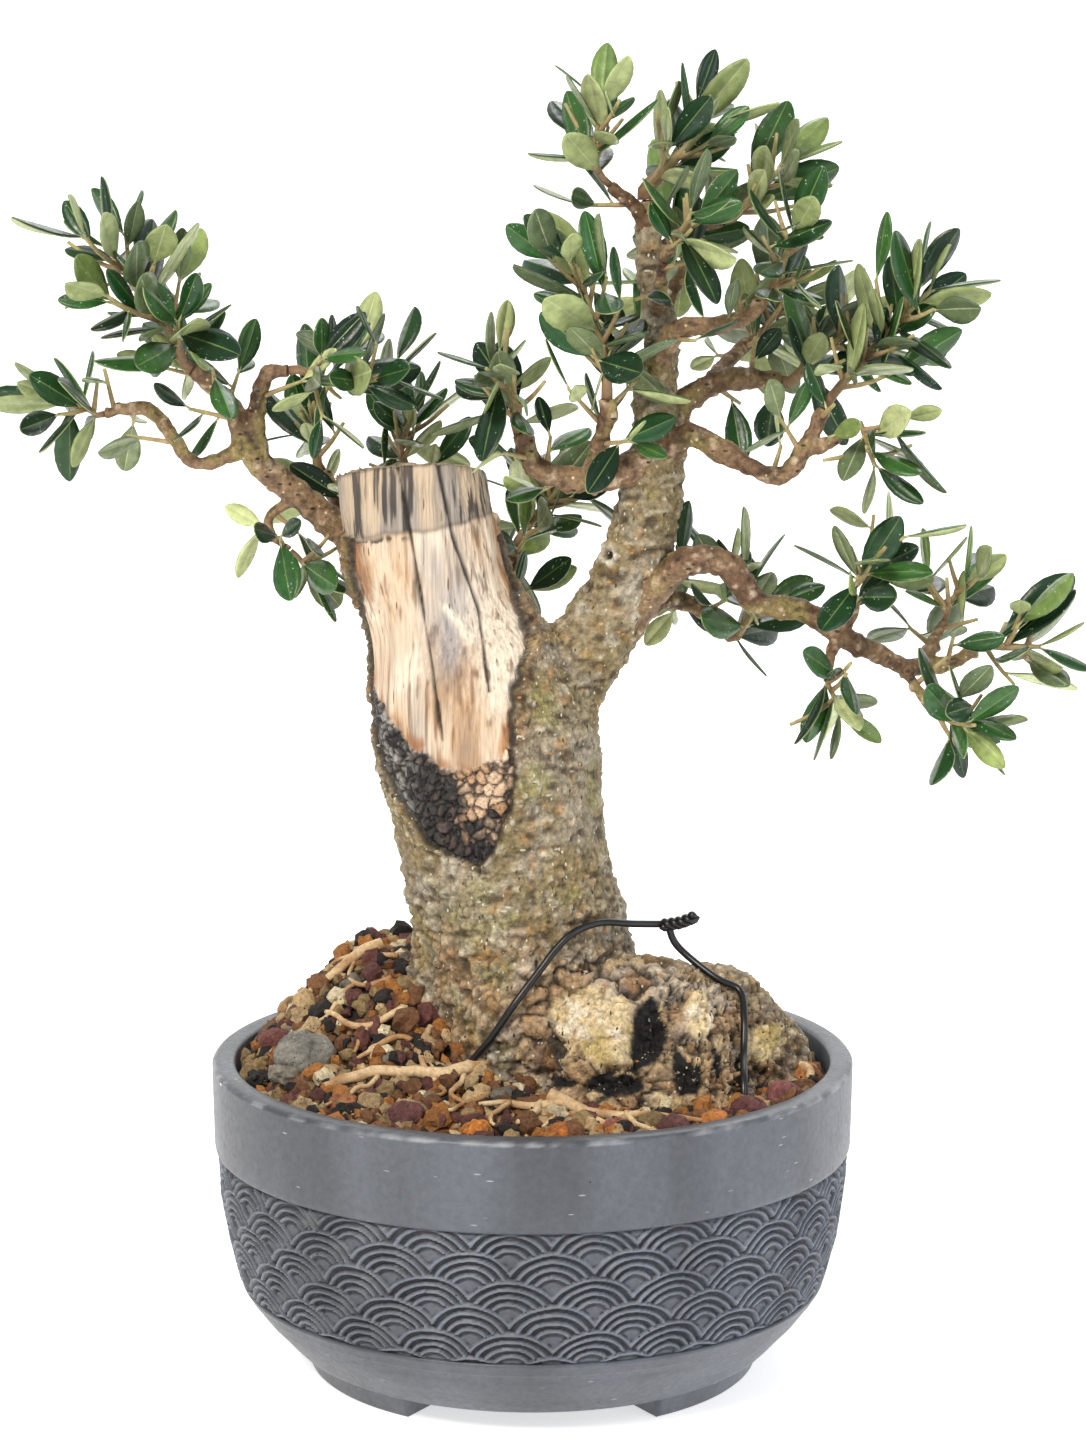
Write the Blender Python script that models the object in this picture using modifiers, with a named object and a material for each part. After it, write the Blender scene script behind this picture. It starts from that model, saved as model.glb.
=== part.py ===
"""An olive bonsai: a sawn and hollowed old trunk with one living leader, in a round grey pot on three feet.

Lengths are in millimetres until a mesh is made, when MM turns them into metres. The pot's axis is
x = y = 0 and its feet stand on z = 0; at the end the whole plant is moved so that the origin is at the
bottom centre of its box. The front of the tree, with the sawn stump on the left and the leader on the
right, faces -Y.
"""

import math
import random
from dataclasses import dataclass

import bmesh
import bpy
import numpy as np
from mathutils import Matrix, Vector

MM = 0.001
GAP = 0.3
MERGE = 0.00002
WELD = 0.000002
FLAT_ANGLE = math.radians(0.5)
SMOOTH_BELOW = math.radians(35.0)
CUT_SWELL = 1.6
LIMB_SWELL = 1.2
FAR = 1e6

# Pot: a turned bowl with a smooth band above a band of waves, on a foot ring that is cut into three feet.
RIM_RADIUS = 110.0
RIM_HEIGHT = 107.5
RIM_CHAMFER = 1.5
RIM_ROUND = 1.0
WALL = 8.0
BAND_BOTTOM = 77.0
BAND_PROUD = 1.0
WAVE_PROFILE = ((108.2, 76.0), (107.4, 61.5), (104.7, 45.5), (100.9, 31.0))
FOOT_TOP = 7.5
FOOT_PROFILE = ((99.9, 29.8), (96.0, 23.0), (90.0, 16.1), (83.0, 8.5), (80.0, FOOT_TOP), (77.0, 0.0),
                (62.0, 0.0), (60.0, FOOT_TOP))
INNER_PROFILE = ((72.0, 17.5), (90.0, 28.0), (98.0, 48.0), (102.0, 80.0))
FLOOR = 16.5
POT_STEPS = 32
FOOT_COUNT = 3
FOOT_ARC = 56.0
GAP_CUT_FROM = 52.0
GAP_CUT_TO = 92.0
GAP_CUT_TOP = FOOT_TOP + 0.4
GAP_CUT_BELOW = -1.0
GAP_TOP_NARROWING = 0.9

# Soil: it fills the pot to just under the rim and is heaped up against the back left of the trunk.
SOIL_RADIUS = RIM_RADIUS - WALL - GAP
SOIL_EDGE = 101.5
SOIL_WALL_TOP = (SOIL_EDGE + INNER_PROFILE[-1][1]) / 2
SOIL_RINGS = 3
SOIL_STEPS = POT_STEPS
HEAP_HEIGHT = 38.0
HEAP_CENTRE = (-40.0, 22.0)
HEAP_RADIUS = 46.0
HEAP_POWER = 4
RIM_POWER = 8

# Trunk: points up its axis with the radius at each, its lumpy root swellings and its two flat cuts.
TRUNK_AXIS = ((8, 2, 78, 40), (2, 1, 116, 39), (-4, 0, 150, 36), (-10, 0, 179, 35), (-15, 0, 213, 37.5),
              (-23, 0, 240, 34), (-31, 0, 262, 27), (-36, 0, 286, 25.7), (-40, 0, 320, 24.3))
TRUNK_DEPTH = 0.92
TRUNK_FOOT = 95.0
STUMP_TOP = 306.0
STUMP_DOME = 10.0
SAW_SIZE = 300.0
SAW_DEPTH = 60.0
FOOT_SAW_DEPTH = 90.0
TRUNK_SIDES = 6
ROUND_IT = 24
UP_IT = 14
SWELLINGS = (
    ((34, -20, 108), (42, 32, 38)), ((60, -8, 104), (30, 28, 36)), ((26, -44, 102), (24, 16, 22)),
    ((54, -40, 100), (22, 17, 22)), ((82, -2, 100), (14, 20, 22)), ((-33, -2, 126), (11, 16, 28)),
    ((-2, -22, 118), (25, 20, 34)), ((10, 26, 106), (38, 24, 24)), ((9, 2, 226), (13, 15, 26)),
)

# Dead wood: the stump's peeled and charred face is sunk in the live bark, inside an outline in x and z.
FACE_OUTLINE = ((-17.4, 179.0), (-12.4, 184.9), (-6.4, 201.8), (-6.5, 235.4), (-1.2, 253.0), (-5.6, 272.1),
                (-5.0, 312.0), (-68.0, 312.0), (-66.0, 286.9), (-60.5, 268.8), (-57.2, 245.0), (-53.0, 211.9),
                (-43.9, 198.4), (-34.0, 184.9))
FACE_DEPTH = 2.4
FACE_FRONT = -60.0
FACE_BACK = 3.0
TRUNK_VOXEL = 2.4
TRUNK_SMOOTHING = 5
TRUNK_RELAX = 0.5
TRUNK_KEEP = 0.04

# Tie wire: chosen points of its two legs over the root, and the short tail of the twist where they meet.
WIRE_RADIUS = 1.25
WIRE_STEP = 10.0
WIRE_SIDES = 1
WIRE_LEFT_LEG = ((-30, -58, 101), (-26, -48, 108), (-21, -40, 114), (-14, -42, 123), (-6, -42, 135),
                 (3, -37, 146), (8, -34, 152), (14, -31, 157), (23, -25, 159), (34, -18, 157), (46, -14, 156))
WIRE_RIGHT_LEG = ((46, -14, 156), (48, -14, 150), (53, -16, 145), (62, -21, 139), (70, -23, 135),
                  (71, -32, 127), (70.6, -38, 118), (70, -51, 111), (70, -55, 100))
WIRE_TAIL = ((46, -14, 156), (49, -16, 157), (53, -17, 159))

# Growth: every mass branches from one stem; its shoots turn by the golden angle and lift to the light.
GOLDEN_ANGLE = math.radians(137.5)
UP = (0.0, 0.0, 1.0)
STEM_STEP = 7.0
STEM_STRAIGHT = 3.0
STEM_SHARE = 0.72
STEM_END_RADIUS = 0.75
SHOOTS_FROM = 0.1
SHOOTS_SPAN = 0.8
SHOOT_SIDE = (0.3, 0.9, 0.2)
SHOOT_WANDER = 0.4
SHOOT_LEAN = 0.5
SHOOT_LIFT = 0.2
SHOOT_RISE = 0.22
SHOOT_LENGTH = 18.0
SHOOT_LENGTHS = (0.6, 1.15)
SHOOT_REACH = 38.0
SHOOT_TURNS = 2
SHOOT_RADII = (1.0, 0.6)
SHOOT_MARGIN = 1.5
TWIG_SIDES = 3

# Leaves: opposite pairs down each twig, narrow at its end and wide below, each a six-sided blade.
NODE_STEP = 5.5
LEAF_SIDE = (0.35, 0.25, 0.9)
PAIR_WANDER = 0.3
END_PAIR_BACK = 0.6
FIRST_LEAF = 2.5
END_SPLAY = (16.0, 34.0)
SPLAY = (44.0, 82.0)
ROLL = 0.55
LEAF_LENGTH = 27.0
LEAF_LENGTHS = (0.72, 1.2)
END_LEAF = 0.88
LEAF_WIDTH = 0.42
LEAF_WIDTHS = (0.85, 1.15)
LEAF_THICK = 0.9
LEAF_SUNK = 0.5
LEAF_MARGIN = 1.2
LEAVES_APART = 3.6
WOOD_CLEAR = 1.0
LEAF_SIDES = 6
MASS_KEEP = 0.6
LEAF_OUTLINE = ((0.0, 0.06), (0.12, 0.22), (0.25, 0.44), (0.5, 0.5), (0.75, 0.44), (0.88, 0.22), (1.0, 0.0))

# Limbs: the step between the rings of a limb, and how fast it thins from its base.
LIMB_STEP = 8.5
TAPER_POWER = 0.8


@dataclass(frozen=True)
class Limb:
    """One tapering limb: the limb that carries it, a few points along it and its radius at each end."""

    name: str
    parent: str
    path: tuple
    base: float
    tip: float


@dataclass(frozen=True)
class Mass:
    """One leaf mass: the limb it ends, where its stem goes on to, its leaves' reach and its shoots."""

    name: str
    limb: str
    path: tuple
    reach: float
    shoots: int
    seed: int


@dataclass(frozen=True)
class Finish:
    """Colour, roughness and metallic value of one material."""

    name: str
    colour: tuple
    roughness: float
    metallic: float = 0.0


BARK = Finish("olive_bark", (0.30, 0.25, 0.17, 1.0), 0.85)
YOUNG_BARK = Finish("young_bark", (0.33, 0.24, 0.15, 1.0), 0.8)
LEAF = Finish("olive_leaf", (0.07, 0.16, 0.06, 1.0), 0.45)
CLAY = Finish("grey_pot", (0.13, 0.135, 0.15, 1.0), 0.7)
GRIT = Finish("soil_grit", (0.20, 0.11, 0.06, 1.0), 0.95)
WIRE = Finish("black_wire", (0.01, 0.01, 0.012, 1.0), 0.4)

LIMBS = (
    Limb("live_leader", "trunk", ((-4, 2, 214), (10, 4, 236), (28, 5, 262), (37, 5, 286), (43, 5, 318)),
         17, 9.5),
    Limb("crown_leader", "live_leader", ((42, 5, 312), (41, 7, 330), (43, 8, 352), (40, 8, 376),
         (38, 8, 398)), 8.5, 4.2),
    Limb("left_bough", "trunk", ((-32, 12, 252), (-50, 24, 272), (-78, 23, 296), (-92, 22, 308),
         (-97, 21, 319)), 6.6, 4.4),
    Limb("left_top_bough", "left_bough", ((-96, 21, 315), (-104, 18, 331), (-115, 16, 341)), 4, 2.6),
    Limb("left_inner_bough", "left_bough", ((-95, 21, 312), (-93, 16, 330), (-89, 13, 340),
         (-82, 12, 341)), 3.8, 2.5),
    Limb("left_outer_twig", "left_bough", ((-96, 20, 316), (-108, 17, 310), (-117, 16, 311),
         (-129, 18, 327), (-145, 19, 326)), 2.8, 1.7),
    Limb("left_hanging_twig", "left_bough", ((-80, 24, 297), (-90, 24, 291), (-89, 23, 284),
         (-83, 22, 279)), 1.9, 1.4),
    Limb("back_left_bough", "trunk", ((-34, 14, 268), (-52, 36, 284), (-66, 40, 293), (-73, 40, 304)),
         4.6, 2.8),
    Limb("back_bough", "trunk", ((-34, 12, 272), (-38, 38, 284), (-44, 46, 304)), 4.4, 2.6),
    Limb("back_right_bough", "trunk", ((-20, 14, 240), (-14, 42, 256), (-6, 52, 276)), 5, 2.8),
    Limb("hooked_bough", "live_leader", ((40, 3, 312), (26, -4, 307), (12, -5, 306), (1, -6, 311),
         (-4, -8, 322)), 5.2, 3.2),
    Limb("front_riser", "hooked_bough", ((22, -4, 307), (22, -15, 317), (24.6, -21, 328),
         (24.6, -22, 334)), 3.6, 2.7),
    Limb("crossing_bough", "crown_leader", ((40, 6, 338), (47, -3, 355), (60, -5, 357), (71, -4, 360),
         (77, -3, 366)), 4.2, 2.6),
    Limb("top_left_twig", "crown_leader", ((40, 8, 386), (34, 4, 396), (26, 2, 403)), 2.8, 1.9),
    Limb("top_right_bough", "crown_leader", ((40, 8, 378), (52, 11, 388), (64, 12, 391)), 3, 2),
    Limb("front_twig", "crown_leader", ((42, 6, 362), (42, -10, 371), (43, -17, 379)), 2.8, 1.9),
    Limb("back_crown_bough", "crown_leader", ((42, 8, 348), (45, 28, 360), (50, 40, 370)), 3.4, 2.2),
    Limb("right_upper_bough", "live_leader", ((43, 6, 312), (50, 14, 329), (61, 17, 336),
         (72, 18, 338), (84, 19, 337)), 5.4, 3),
    Limb("back_right_bough_high", "right_upper_bough", ((62, 17, 336), (66, 32, 342), (74, 44, 348)),
         3, 2),
    Limb("right_lower_bough", "live_leader", ((42, 4, 313), (52, -5, 321), (63, -8, 316),
         (74, -10, 310), (84, -10, 308), (91, -10, 318), (97, -10, 330)), 4.6, 2.4),
    Limb("right_spur", "right_lower_bough", ((90, -10, 316), (99, -13, 319), (106, -16, 324)), 2, 1.5),
    Limb("back_loop", "live_leader", ((32, 6, 258), (46, 22, 262), (60, 27, 257), (66, 29, 250)), 4.4, 2.6),
    Limb("low_right_bough", "live_leader", ((30, 4, 256), (43, -3, 271), (54, -6, 279), (66, -5, 277),
         (75, -5, 265), (92, -5, 261), (110, -6, 250), (128, -7, 243), (142, -8, 245), (148, -8, 249)),
         6, 2.6),
    Limb("low_right_spur", "low_right_bough", ((103, -6, 254), (107, -9, 262), (107, -10, 267)), 2.2, 1.7),
    Limb("low_right_underspur", "low_right_bough", ((103, -6, 254), (100, -11, 248), (99, -13, 243)),
         1.9, 1.4),
    Limb("low_right_riser", "low_right_bough", ((132, -7, 243.5), (136, -1, 252), (139, 2, 257)), 1.9, 1.4),
    Limb("low_right_hanger", "low_right_bough", ((124, -7, 244.5), (129, -17, 237), (133, -20, 231)),
         2.2, 1.6),
)
MASSES = (
    Mass("leaves_left_top", "left_top_bough", ((-121, 14, 352), (-130, 12, 364), (-142, 10, 382)),
         46, 6, 131),
    Mass("leaves_left_tip", "left_outer_twig", ((-150, 19, 327), (-158, 18, 330)), 35, 2, 94),
    Mass("leaves_left_inner", "left_inner_bough", ((-65, 12, 337), (-48, 11, 339)), 35, 5, 102),
    Mass("leaves_left_low", "left_hanging_twig", ((-79, 21, 275), (-75, 19, 271)), 32, 1, 95),
    Mass("leaves_back_left", "back_left_bough", ((-75, 41, 318), (-77, 38, 328)), 34, 4, 130),
    Mass("leaves_behind_stump", "back_bough", ((-46, 48, 311), (-44, 48, 318)), 36, 5, 119),
    Mass("leaves_behind_fork", "back_right_bough", ((2, 56, 288), (9, 58, 296)), 36, 5, 76),
    Mass("leaves_centre_left", "hooked_bough", ((-5, -11, 332), (-13, -14, 343)), 39, 5, 72),
    Mass("leaves_front_centre", "front_riser", ((23.5, -22, 349), (19, -21, 363), (15, -20, 377)),
         43, 6, 85),
    Mass("leaves_top_left", "top_left_twig", ((20, 2, 412), (23, 2, 428)), 39, 5, 85),
    Mass("leaves_apex", "crown_leader", ((44, 8, 408), (57, 8, 421)), 44, 6, 73),
    Mass("leaves_top_right", "top_right_bough", ((74, 12, 398), (83, 12, 409)), 39, 5, 7),
    Mass("leaves_crown_front", "front_twig", ((48, -20, 388), (54, -22, 392)), 36, 5, 122),
    Mass("leaves_crossing", "crossing_bough", ((82, -8, 376), (86, -14, 388)), 40, 5, 144),
    Mass("leaves_crown_back", "back_crown_bough", ((53, 50, 378), (55, 54, 388)), 38, 6, 41),
    Mass("leaves_right_upper", "right_upper_bough", ((97, 18, 346), (112, 14, 358)), 40, 6, 36),
    Mass("leaves_right_back", "back_right_bough_high", ((82, 54, 354), (88, 60, 362)), 39, 6, 70),
    Mass("leaves_right_outer", "right_lower_bough", ((104, -11, 340), (116, -12, 354), (131, -12, 369)),
         42, 7, 12),
    Mass("leaves_right_lower", "right_spur", ((110, -18, 320), (113, -20, 312)), 38, 4, 147),
    Mass("leaves_behind_leader", "back_loop", ((71, 30, 248), (75, 31, 257), (73, 31, 268)), 36, 4, 1),
    Mass("leaves_low_right_mid", "low_right_spur", ((109, -11, 272), (113, -11, 283)), 38, 5, 73),
    Mass("leaves_low_right_inner", "low_right_underspur", ((100, -16, 236), (103, -18, 230)), 33, 2, 67),
    Mass("leaves_low_right_upper", "low_right_riser", ((141, 3, 263), (146, 4, 270)), 35, 4, 23),
    Mass("leaves_low_right_under", "low_right_hanger", ((138, -21, 228), (144, -22, 225)), 35, 4, 2),
    Mass("leaves_low_right_tip", "low_right_bough", ((158, -8, 250), (170, -8, 250)), 34, 5, 44),
)


# Scene, meshes and Booleans


def clear_scene():
    """Remove every object and make the two collections."""
    for obj in list(bpy.data.objects):
        bpy.data.objects.remove(obj, do_unlink=True)
    made = []
    for name in ("olive_bonsai", "cutters"):
        collection = bpy.data.collections.new(name)
        bpy.context.scene.collection.children.link(collection)
        made.append(collection)
    return made


def paint(obj, finish):
    """Give an object its Principled material, made once for each finish."""
    material = bpy.data.materials.get(finish.name)
    if material is None:
        material = bpy.data.materials.new(finish.name)
        material.use_nodes = True
        shader = material.node_tree.nodes["Principled BSDF"]
        shader.inputs["Base Color"].default_value = finish.colour
        shader.inputs["Roughness"].default_value = finish.roughness
        shader.inputs["Metallic"].default_value = finish.metallic
        material.diffuse_color = finish.colour
    obj.data.materials.clear()
    obj.data.materials.append(material)


def new_object(name, data, collection):
    """Link a new object that holds the given data."""
    obj = bpy.data.objects.new(name, data)
    collection.objects.link(obj)
    return obj


def as_cutter(obj):
    """Mark an object as a guide or a cutter, which is never part of the plant."""
    obj.hide_render = True
    obj.display_type = "WIRE"
    return obj


def mesh_object(name, bm, collection):
    """Turn a bmesh into a linked object."""
    mesh = bpy.data.meshes.new(name)
    bm.to_mesh(mesh)
    bm.free()
    return new_object(name, mesh, collection)


def drop(obj):
    """Remove an object with its data."""
    data = obj.data
    bpy.data.objects.remove(obj, do_unlink=True)
    if isinstance(data, bpy.types.Mesh):
        bpy.data.meshes.remove(data)
    else:
        bpy.data.curves.remove(data)


def bake(obj):
    """Replace an object's mesh by its evaluated one and drop its modifiers."""
    evaluated = obj.evaluated_get(bpy.context.evaluated_depsgraph_get())
    mesh = bpy.data.meshes.new_from_object(evaluated)
    old = obj.data
    obj.modifiers.clear()
    obj.data = mesh
    bpy.data.meshes.remove(old)
    mesh.name = obj.name


def boolean(obj, other, operation, solver="EXACT"):
    """Cut, join or intersect an object with another object or with a whole collection, and apply it."""
    modifier = obj.modifiers.new(operation.lower(), "BOOLEAN")
    modifier.operation = operation
    modifier.solver = solver
    if isinstance(other, bpy.types.Collection):
        modifier.operand_type = "COLLECTION"
        modifier.collection = other
    else:
        modifier.object = other
    bake(obj)


def islands(bm):
    """The separate shells of a bmesh, as lists of vertices."""
    left = set(bm.verts)
    found = []
    while left:
        front = [left.pop()]
        shell = []
        while front:
            vert = front.pop()
            shell.append(vert)
            for edge in vert.link_edges:
                other = edge.other_vert(vert)
                if other in left:
                    left.remove(other)
                    front.append(other)
        found.append(shell)
    return found


def keep_largest(obj):
    """Drop loose scraps: keep the shell with the longest box, in triangles."""
    bm = bmesh.new()
    bm.from_mesh(obj.data)
    shells = islands(bm)

    def extent(shell):
        places = np.array([vert.co for vert in shell])
        return float(np.linalg.norm(np.ptp(places, axis=0)))

    shells.sort(key=extent)
    for shell in shells[:-1]:
        bmesh.ops.delete(bm, geom=shell, context="VERTS")
    bmesh.ops.dissolve_limit(bm, angle_limit=FLAT_ANGLE, verts=bm.verts, edges=bm.edges)
    bmesh.ops.triangulate(bm, faces=bm.faces)
    bm.to_mesh(obj.data)
    bm.free()


def lighten(obj, keep):
    """Collapse the least telling edges until the given share of an object's faces is left."""
    modifier = obj.modifiers.new("lighten", "DECIMATE")
    modifier.ratio = keep
    bake(obj)


def shade(obj):
    """Shade a round piece smooth, with its corners left sharp."""
    obj.data.shade_smooth()
    obj.data.set_sharp_from_angle(angle=SMOOTH_BELOW)


def metres(points):
    """Points in millimetres as vectors in metres."""
    return [Vector(tuple(float(value) * MM for value in point[:3])) for point in points]


def turned(name, profile, steps, collection):
    """A profile of (radius, height) pairs turned about Z by a Screw modifier."""
    bm = bmesh.new()
    verts = [bm.verts.new((radius * MM, 0.0, height * MM)) for radius, height in profile]
    for first, second in zip(verts, verts[1:]):
        bm.edges.new((first, second))
    obj = mesh_object(name, bm, collection)
    screw = obj.modifiers.new("turn", "SCREW")
    screw.steps = steps
    screw.render_steps = steps
    screw.use_merge_vertices = True
    screw.merge_threshold = MERGE
    screw.use_smooth_shade = False
    bake(obj)
    return obj


def solid_curve(name, curve, collection):
    """Turn a curve with a thickness into a welded mesh object."""
    guide = new_object(name + "_curve", curve, collection)
    evaluated = guide.evaluated_get(bpy.context.evaluated_depsgraph_get())
    mesh = bpy.data.meshes.new_from_object(evaluated)
    bm = bmesh.new()
    bm.from_mesh(mesh)
    bmesh.ops.remove_doubles(bm, verts=bm.verts, dist=WELD)
    bmesh.ops.recalc_face_normals(bm, faces=bm.faces)
    bm.to_mesh(mesh)
    bm.free()
    obj = new_object(name, mesh, collection)
    obj.matrix_world = guide.matrix_world
    drop(guide)
    return obj


def tube(name, points, radii, collection, resolution=2, section=None):
    """A tapering tube through the points as a mesh: a poly curve with a round bevel or a given section."""
    curve = bpy.data.curves.new(name, "CURVE")
    curve.dimensions = "3D"
    curve.use_fill_caps = True
    curve.twist_mode = "MINIMUM"
    if section is None:
        curve.bevel_depth = MM
        curve.bevel_resolution = resolution
    else:
        curve.bevel_mode = "OBJECT"
        curve.bevel_object = section
    spline = curve.splines.new("POLY")
    spline.points.add(len(points) - 1)
    for point, place, radius in zip(spline.points, metres(points), radii):
        point.co = (*place, 1.0)
        point.radius = float(radius)
    return solid_curve(name, curve, collection)


def prism(name, outline, front, back, collection):
    """An outline of (x, z) pairs filled and run through from the front to the back along Y."""
    curve = bpy.data.curves.new(name, "CURVE")
    curve.dimensions = "2D"
    curve.fill_mode = "BOTH"
    curve.extrude = (back - front) / 2 * MM
    spline = curve.splines.new("POLY")
    spline.points.add(len(outline) - 1)
    for point, (x, z) in zip(spline.points, outline):
        point.co = (x * MM, z * MM, 0.0, 1.0)
    spline.use_cyclic_u = True
    obj = solid_curve(name, curve, collection)
    upright = Matrix.Rotation(math.radians(90.0), 4, "X")
    obj.data.transform(Matrix.Translation((0.0, (front + back) / 2 * MM, 0.0)) @ upright)
    return obj


def box(name, size, place, collection):
    """A cube primitive of the given size and centre."""
    bm = bmesh.new()
    bmesh.ops.create_cube(bm, size=1.0)
    bmesh.ops.transform(bm, matrix=Matrix.Diagonal((*(value * MM for value in size), 1.0)), verts=bm.verts)
    bmesh.ops.translate(bm, vec=metres([place])[0], verts=bm.verts)
    return mesh_object(name, bm, collection)


# Curves and distances


def unit(vector):
    """The vector at length 1."""
    return vector / np.linalg.norm(vector)


def smooth_path(points, step):
    """A Catmull-Rom curve through the points, read about every step millimetres."""
    given = np.asarray(points, float)
    ends = np.vstack([2 * given[0] - given[1], given, 2 * given[-1] - given[-2]])
    path = []
    for start in range(len(given) - 1):
        before, first, second, after = ends[start : start + 4]
        count = max(1, int(round(np.linalg.norm((second - first)[:3]) / step)))
        for t in np.arange(count) / count:
            bend = (second - before) * t + (2 * before - 5 * first + 4 * second - after) * t**2
            path.append(first + 0.5 * (bend + (3 * first - before - 3 * second + after) * t**3))
    path.append(given[-1])
    return np.array(path)


def lengths_along(path):
    """The distance from the start to each point of a path."""
    return np.concatenate([[0.0], np.cumsum(np.linalg.norm(np.diff(path, axis=0), axis=1))])


def place_at(path, lengths, length):
    """The place and the direction at a length along a path."""
    after = max(1, min(int(np.searchsorted(lengths, length)), len(lengths) - 1))
    share = min(1.0, (length - lengths[after - 1]) / (lengths[after] - lengths[after - 1]))
    run = path[after] - path[after - 1]
    return path[after - 1] + run * share, unit(run)


def limb_line(limb):
    """Points along a limb and the radius at each."""
    path = smooth_path(limb.path, LIMB_STEP)
    share = lengths_along(path)
    return path, limb.base + (limb.tip - limb.base) * (share / share[-1]) ** TAPER_POWER


def distances(points, starts, runs):
    """Distance and share along the run from every point to every straight run."""
    share = ((points[:, None, :] - starts) * runs).sum(-1) / (runs**2).sum(-1)
    share = np.clip(share, 0.0, 1.0)
    nearest = starts + runs * share[..., None]
    return np.linalg.norm(points[:, None, :] - nearest, axis=-1), share


class Wood:
    """All limbs and the trunk as rounded tapering runs, for clearances."""

    def __init__(self, lines):
        self.starts = np.vstack([path[:-1] for path, _ in lines])
        self.runs = np.vstack([np.diff(path, axis=0) for path, _ in lines])
        self.radii = np.concatenate([radii[:-1] for _, radii in lines])
        self.tapers = np.concatenate([np.diff(radii) for _, radii in lines])

    def clearance(self, points):
        """The least distance from any of the points to the wood's surface."""
        away, share = distances(points, self.starts, self.runs)
        return float((away - self.radii - self.tapers * share).min())


class Spaces:
    """Each mass's own space: what lies nearer its stem than any other's, measured in their reaches."""

    def __init__(self, masses, limbs):
        self.reach = np.array([mass.reach for mass in masses], float)
        self.stems = []
        for mass in masses:
            path, _ = limb_line(limbs[mass.limb])
            onward = unit(path[-1] - path[-2])
            seat = path[-1] + onward * GAP
            self.stems.append(np.vstack([seat, seat + onward * STEM_STRAIGHT, np.asarray(mass.path, float)]))

    def holds(self, points, index, margin):
        """Whether every point is in the space of the mass with that index."""
        away = []
        for stem in self.stems:
            away.append(distances(points, stem[:-1], np.diff(stem, axis=0))[0].min(1))
        shares = np.stack(away, 1) / self.reach
        own = shares[:, index]
        others = np.delete(shares, index, 1).min(1)
        return bool((own < 1.0).all() and (others - own > margin / self.reach[index]).all())


# Growth


def around(axis, angle, reference):
    """The direction square to an axis at an angle from the reference's side."""
    across = unit(np.cross(axis, reference))
    return across * math.cos(angle) + np.cross(axis, across) * math.sin(angle)


def grow_twigs(index, masses, limbs, wood, spaces, rng):
    """The stem of a mass and its shoots, each as a path with its two end radii."""
    mass = masses[index]
    lift = np.array(UP)
    stem = smooth_path(spaces.stems[index], STEM_STEP)
    twigs = [(stem, (limbs[mass.limb].tip * STEM_SHARE, STEM_END_RADIUS))]
    lengths = lengths_along(stem)
    phase = rng.uniform(0.0, math.tau)
    for shoot in range(mass.shoots):
        share = SHOOTS_FROM + SHOOTS_SPAN * (shoot + 0.5) / mass.shoots
        root, along = place_at(stem, lengths, lengths[-1] * share)
        turn = phase + GOLDEN_ANGLE * shoot + rng.uniform(-SHOOT_WANDER, SHOOT_WANDER)
        heading = unit(along * SHOOT_LEAN + around(along, turn, SHOOT_SIDE) + lift * SHOOT_LIFT)
        step = SHOOT_LENGTH * rng.uniform(*SHOOT_LENGTHS) * mass.reach / SHOOT_REACH / SHOOT_TURNS
        path = [root]
        for _ in range(SHOOT_TURNS):
            heading = unit(heading + lift * SHOOT_RISE)
            path.append(path[-1] + heading * step)
        path = np.array(path)
        clear = wood.clearance(path[1:]) > WOOD_CLEAR + SHOOT_RADII[1]
        if clear and spaces.holds(path[1:], index, SHOOT_MARGIN):
            twigs.append((path, SHOOT_RADII))
    return twigs


def leaf_outline(root, along, across, length, width):
    """Points down the middle of a leaf, and the same with those along both edges."""
    outline = np.array(LEAF_OUTLINE)
    middle = root + along * length * outline[:, :1]
    edge = across * width * outline[:, 1:]
    return middle, np.vstack([middle, middle + edge, middle - edge])


def aim_leaf(axis, turn, at_end, rng):
    """Which way a leaf points and which way its upper face looks."""
    out = around(axis, turn, LEAF_SIDE)
    splay = math.radians(rng.uniform(*(END_SPLAY if at_end else SPLAY)))
    along = unit(axis * math.cos(splay) + out * math.sin(splay))
    face = unit(axis - along * axis.dot(along))
    roll = rng.uniform(-ROLL, ROLL)
    return along, face * math.cos(roll) + np.cross(along, face) * math.sin(roll)


def grow_leaves(index, twigs, wood, spaces, rng):
    """Opposite pairs of leaves down each twig from its end, leaving out what would touch or stray."""
    leaves = []
    taken = np.full((1, 3), FAR)
    for path, _ in twigs:
        lengths = lengths_along(path)
        spin = rng.uniform(0.0, math.pi)
        for pair in range(int(lengths[-1] / NODE_STEP) + 1):
            at_end = pair == 0
            length_along = lengths[-1] - pair * NODE_STEP - (END_PAIR_BACK if at_end else 0.0)
            if length_along < FIRST_LEAF:
                continue
            root, axis = place_at(path, lengths, length_along)
            for side in (0.0, math.pi):
                turn = spin + pair * math.pi / 2 + side + rng.uniform(-PAIR_WANDER, PAIR_WANDER)
                along, face = aim_leaf(axis, turn, at_end, rng)
                length = LEAF_LENGTH * rng.uniform(*LEAF_LENGTHS) * (END_LEAF if at_end else 1.0)
                width = length * LEAF_WIDTH * rng.uniform(*LEAF_WIDTHS)
                middle, outline = leaf_outline(root, along, np.cross(along, face), length, width)
                if np.linalg.norm(taken[:, None] - outline[2:], axis=-1).min() < LEAVES_APART:
                    continue
                if wood.clearance(outline) < WOOD_CLEAR or not spaces.holds(outline, index, LEAF_MARGIN):
                    continue
                taken = np.vstack([taken, middle[3:]])
                leaves.append((root, along, face, length, width))
    return leaves


# Pieces


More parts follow.
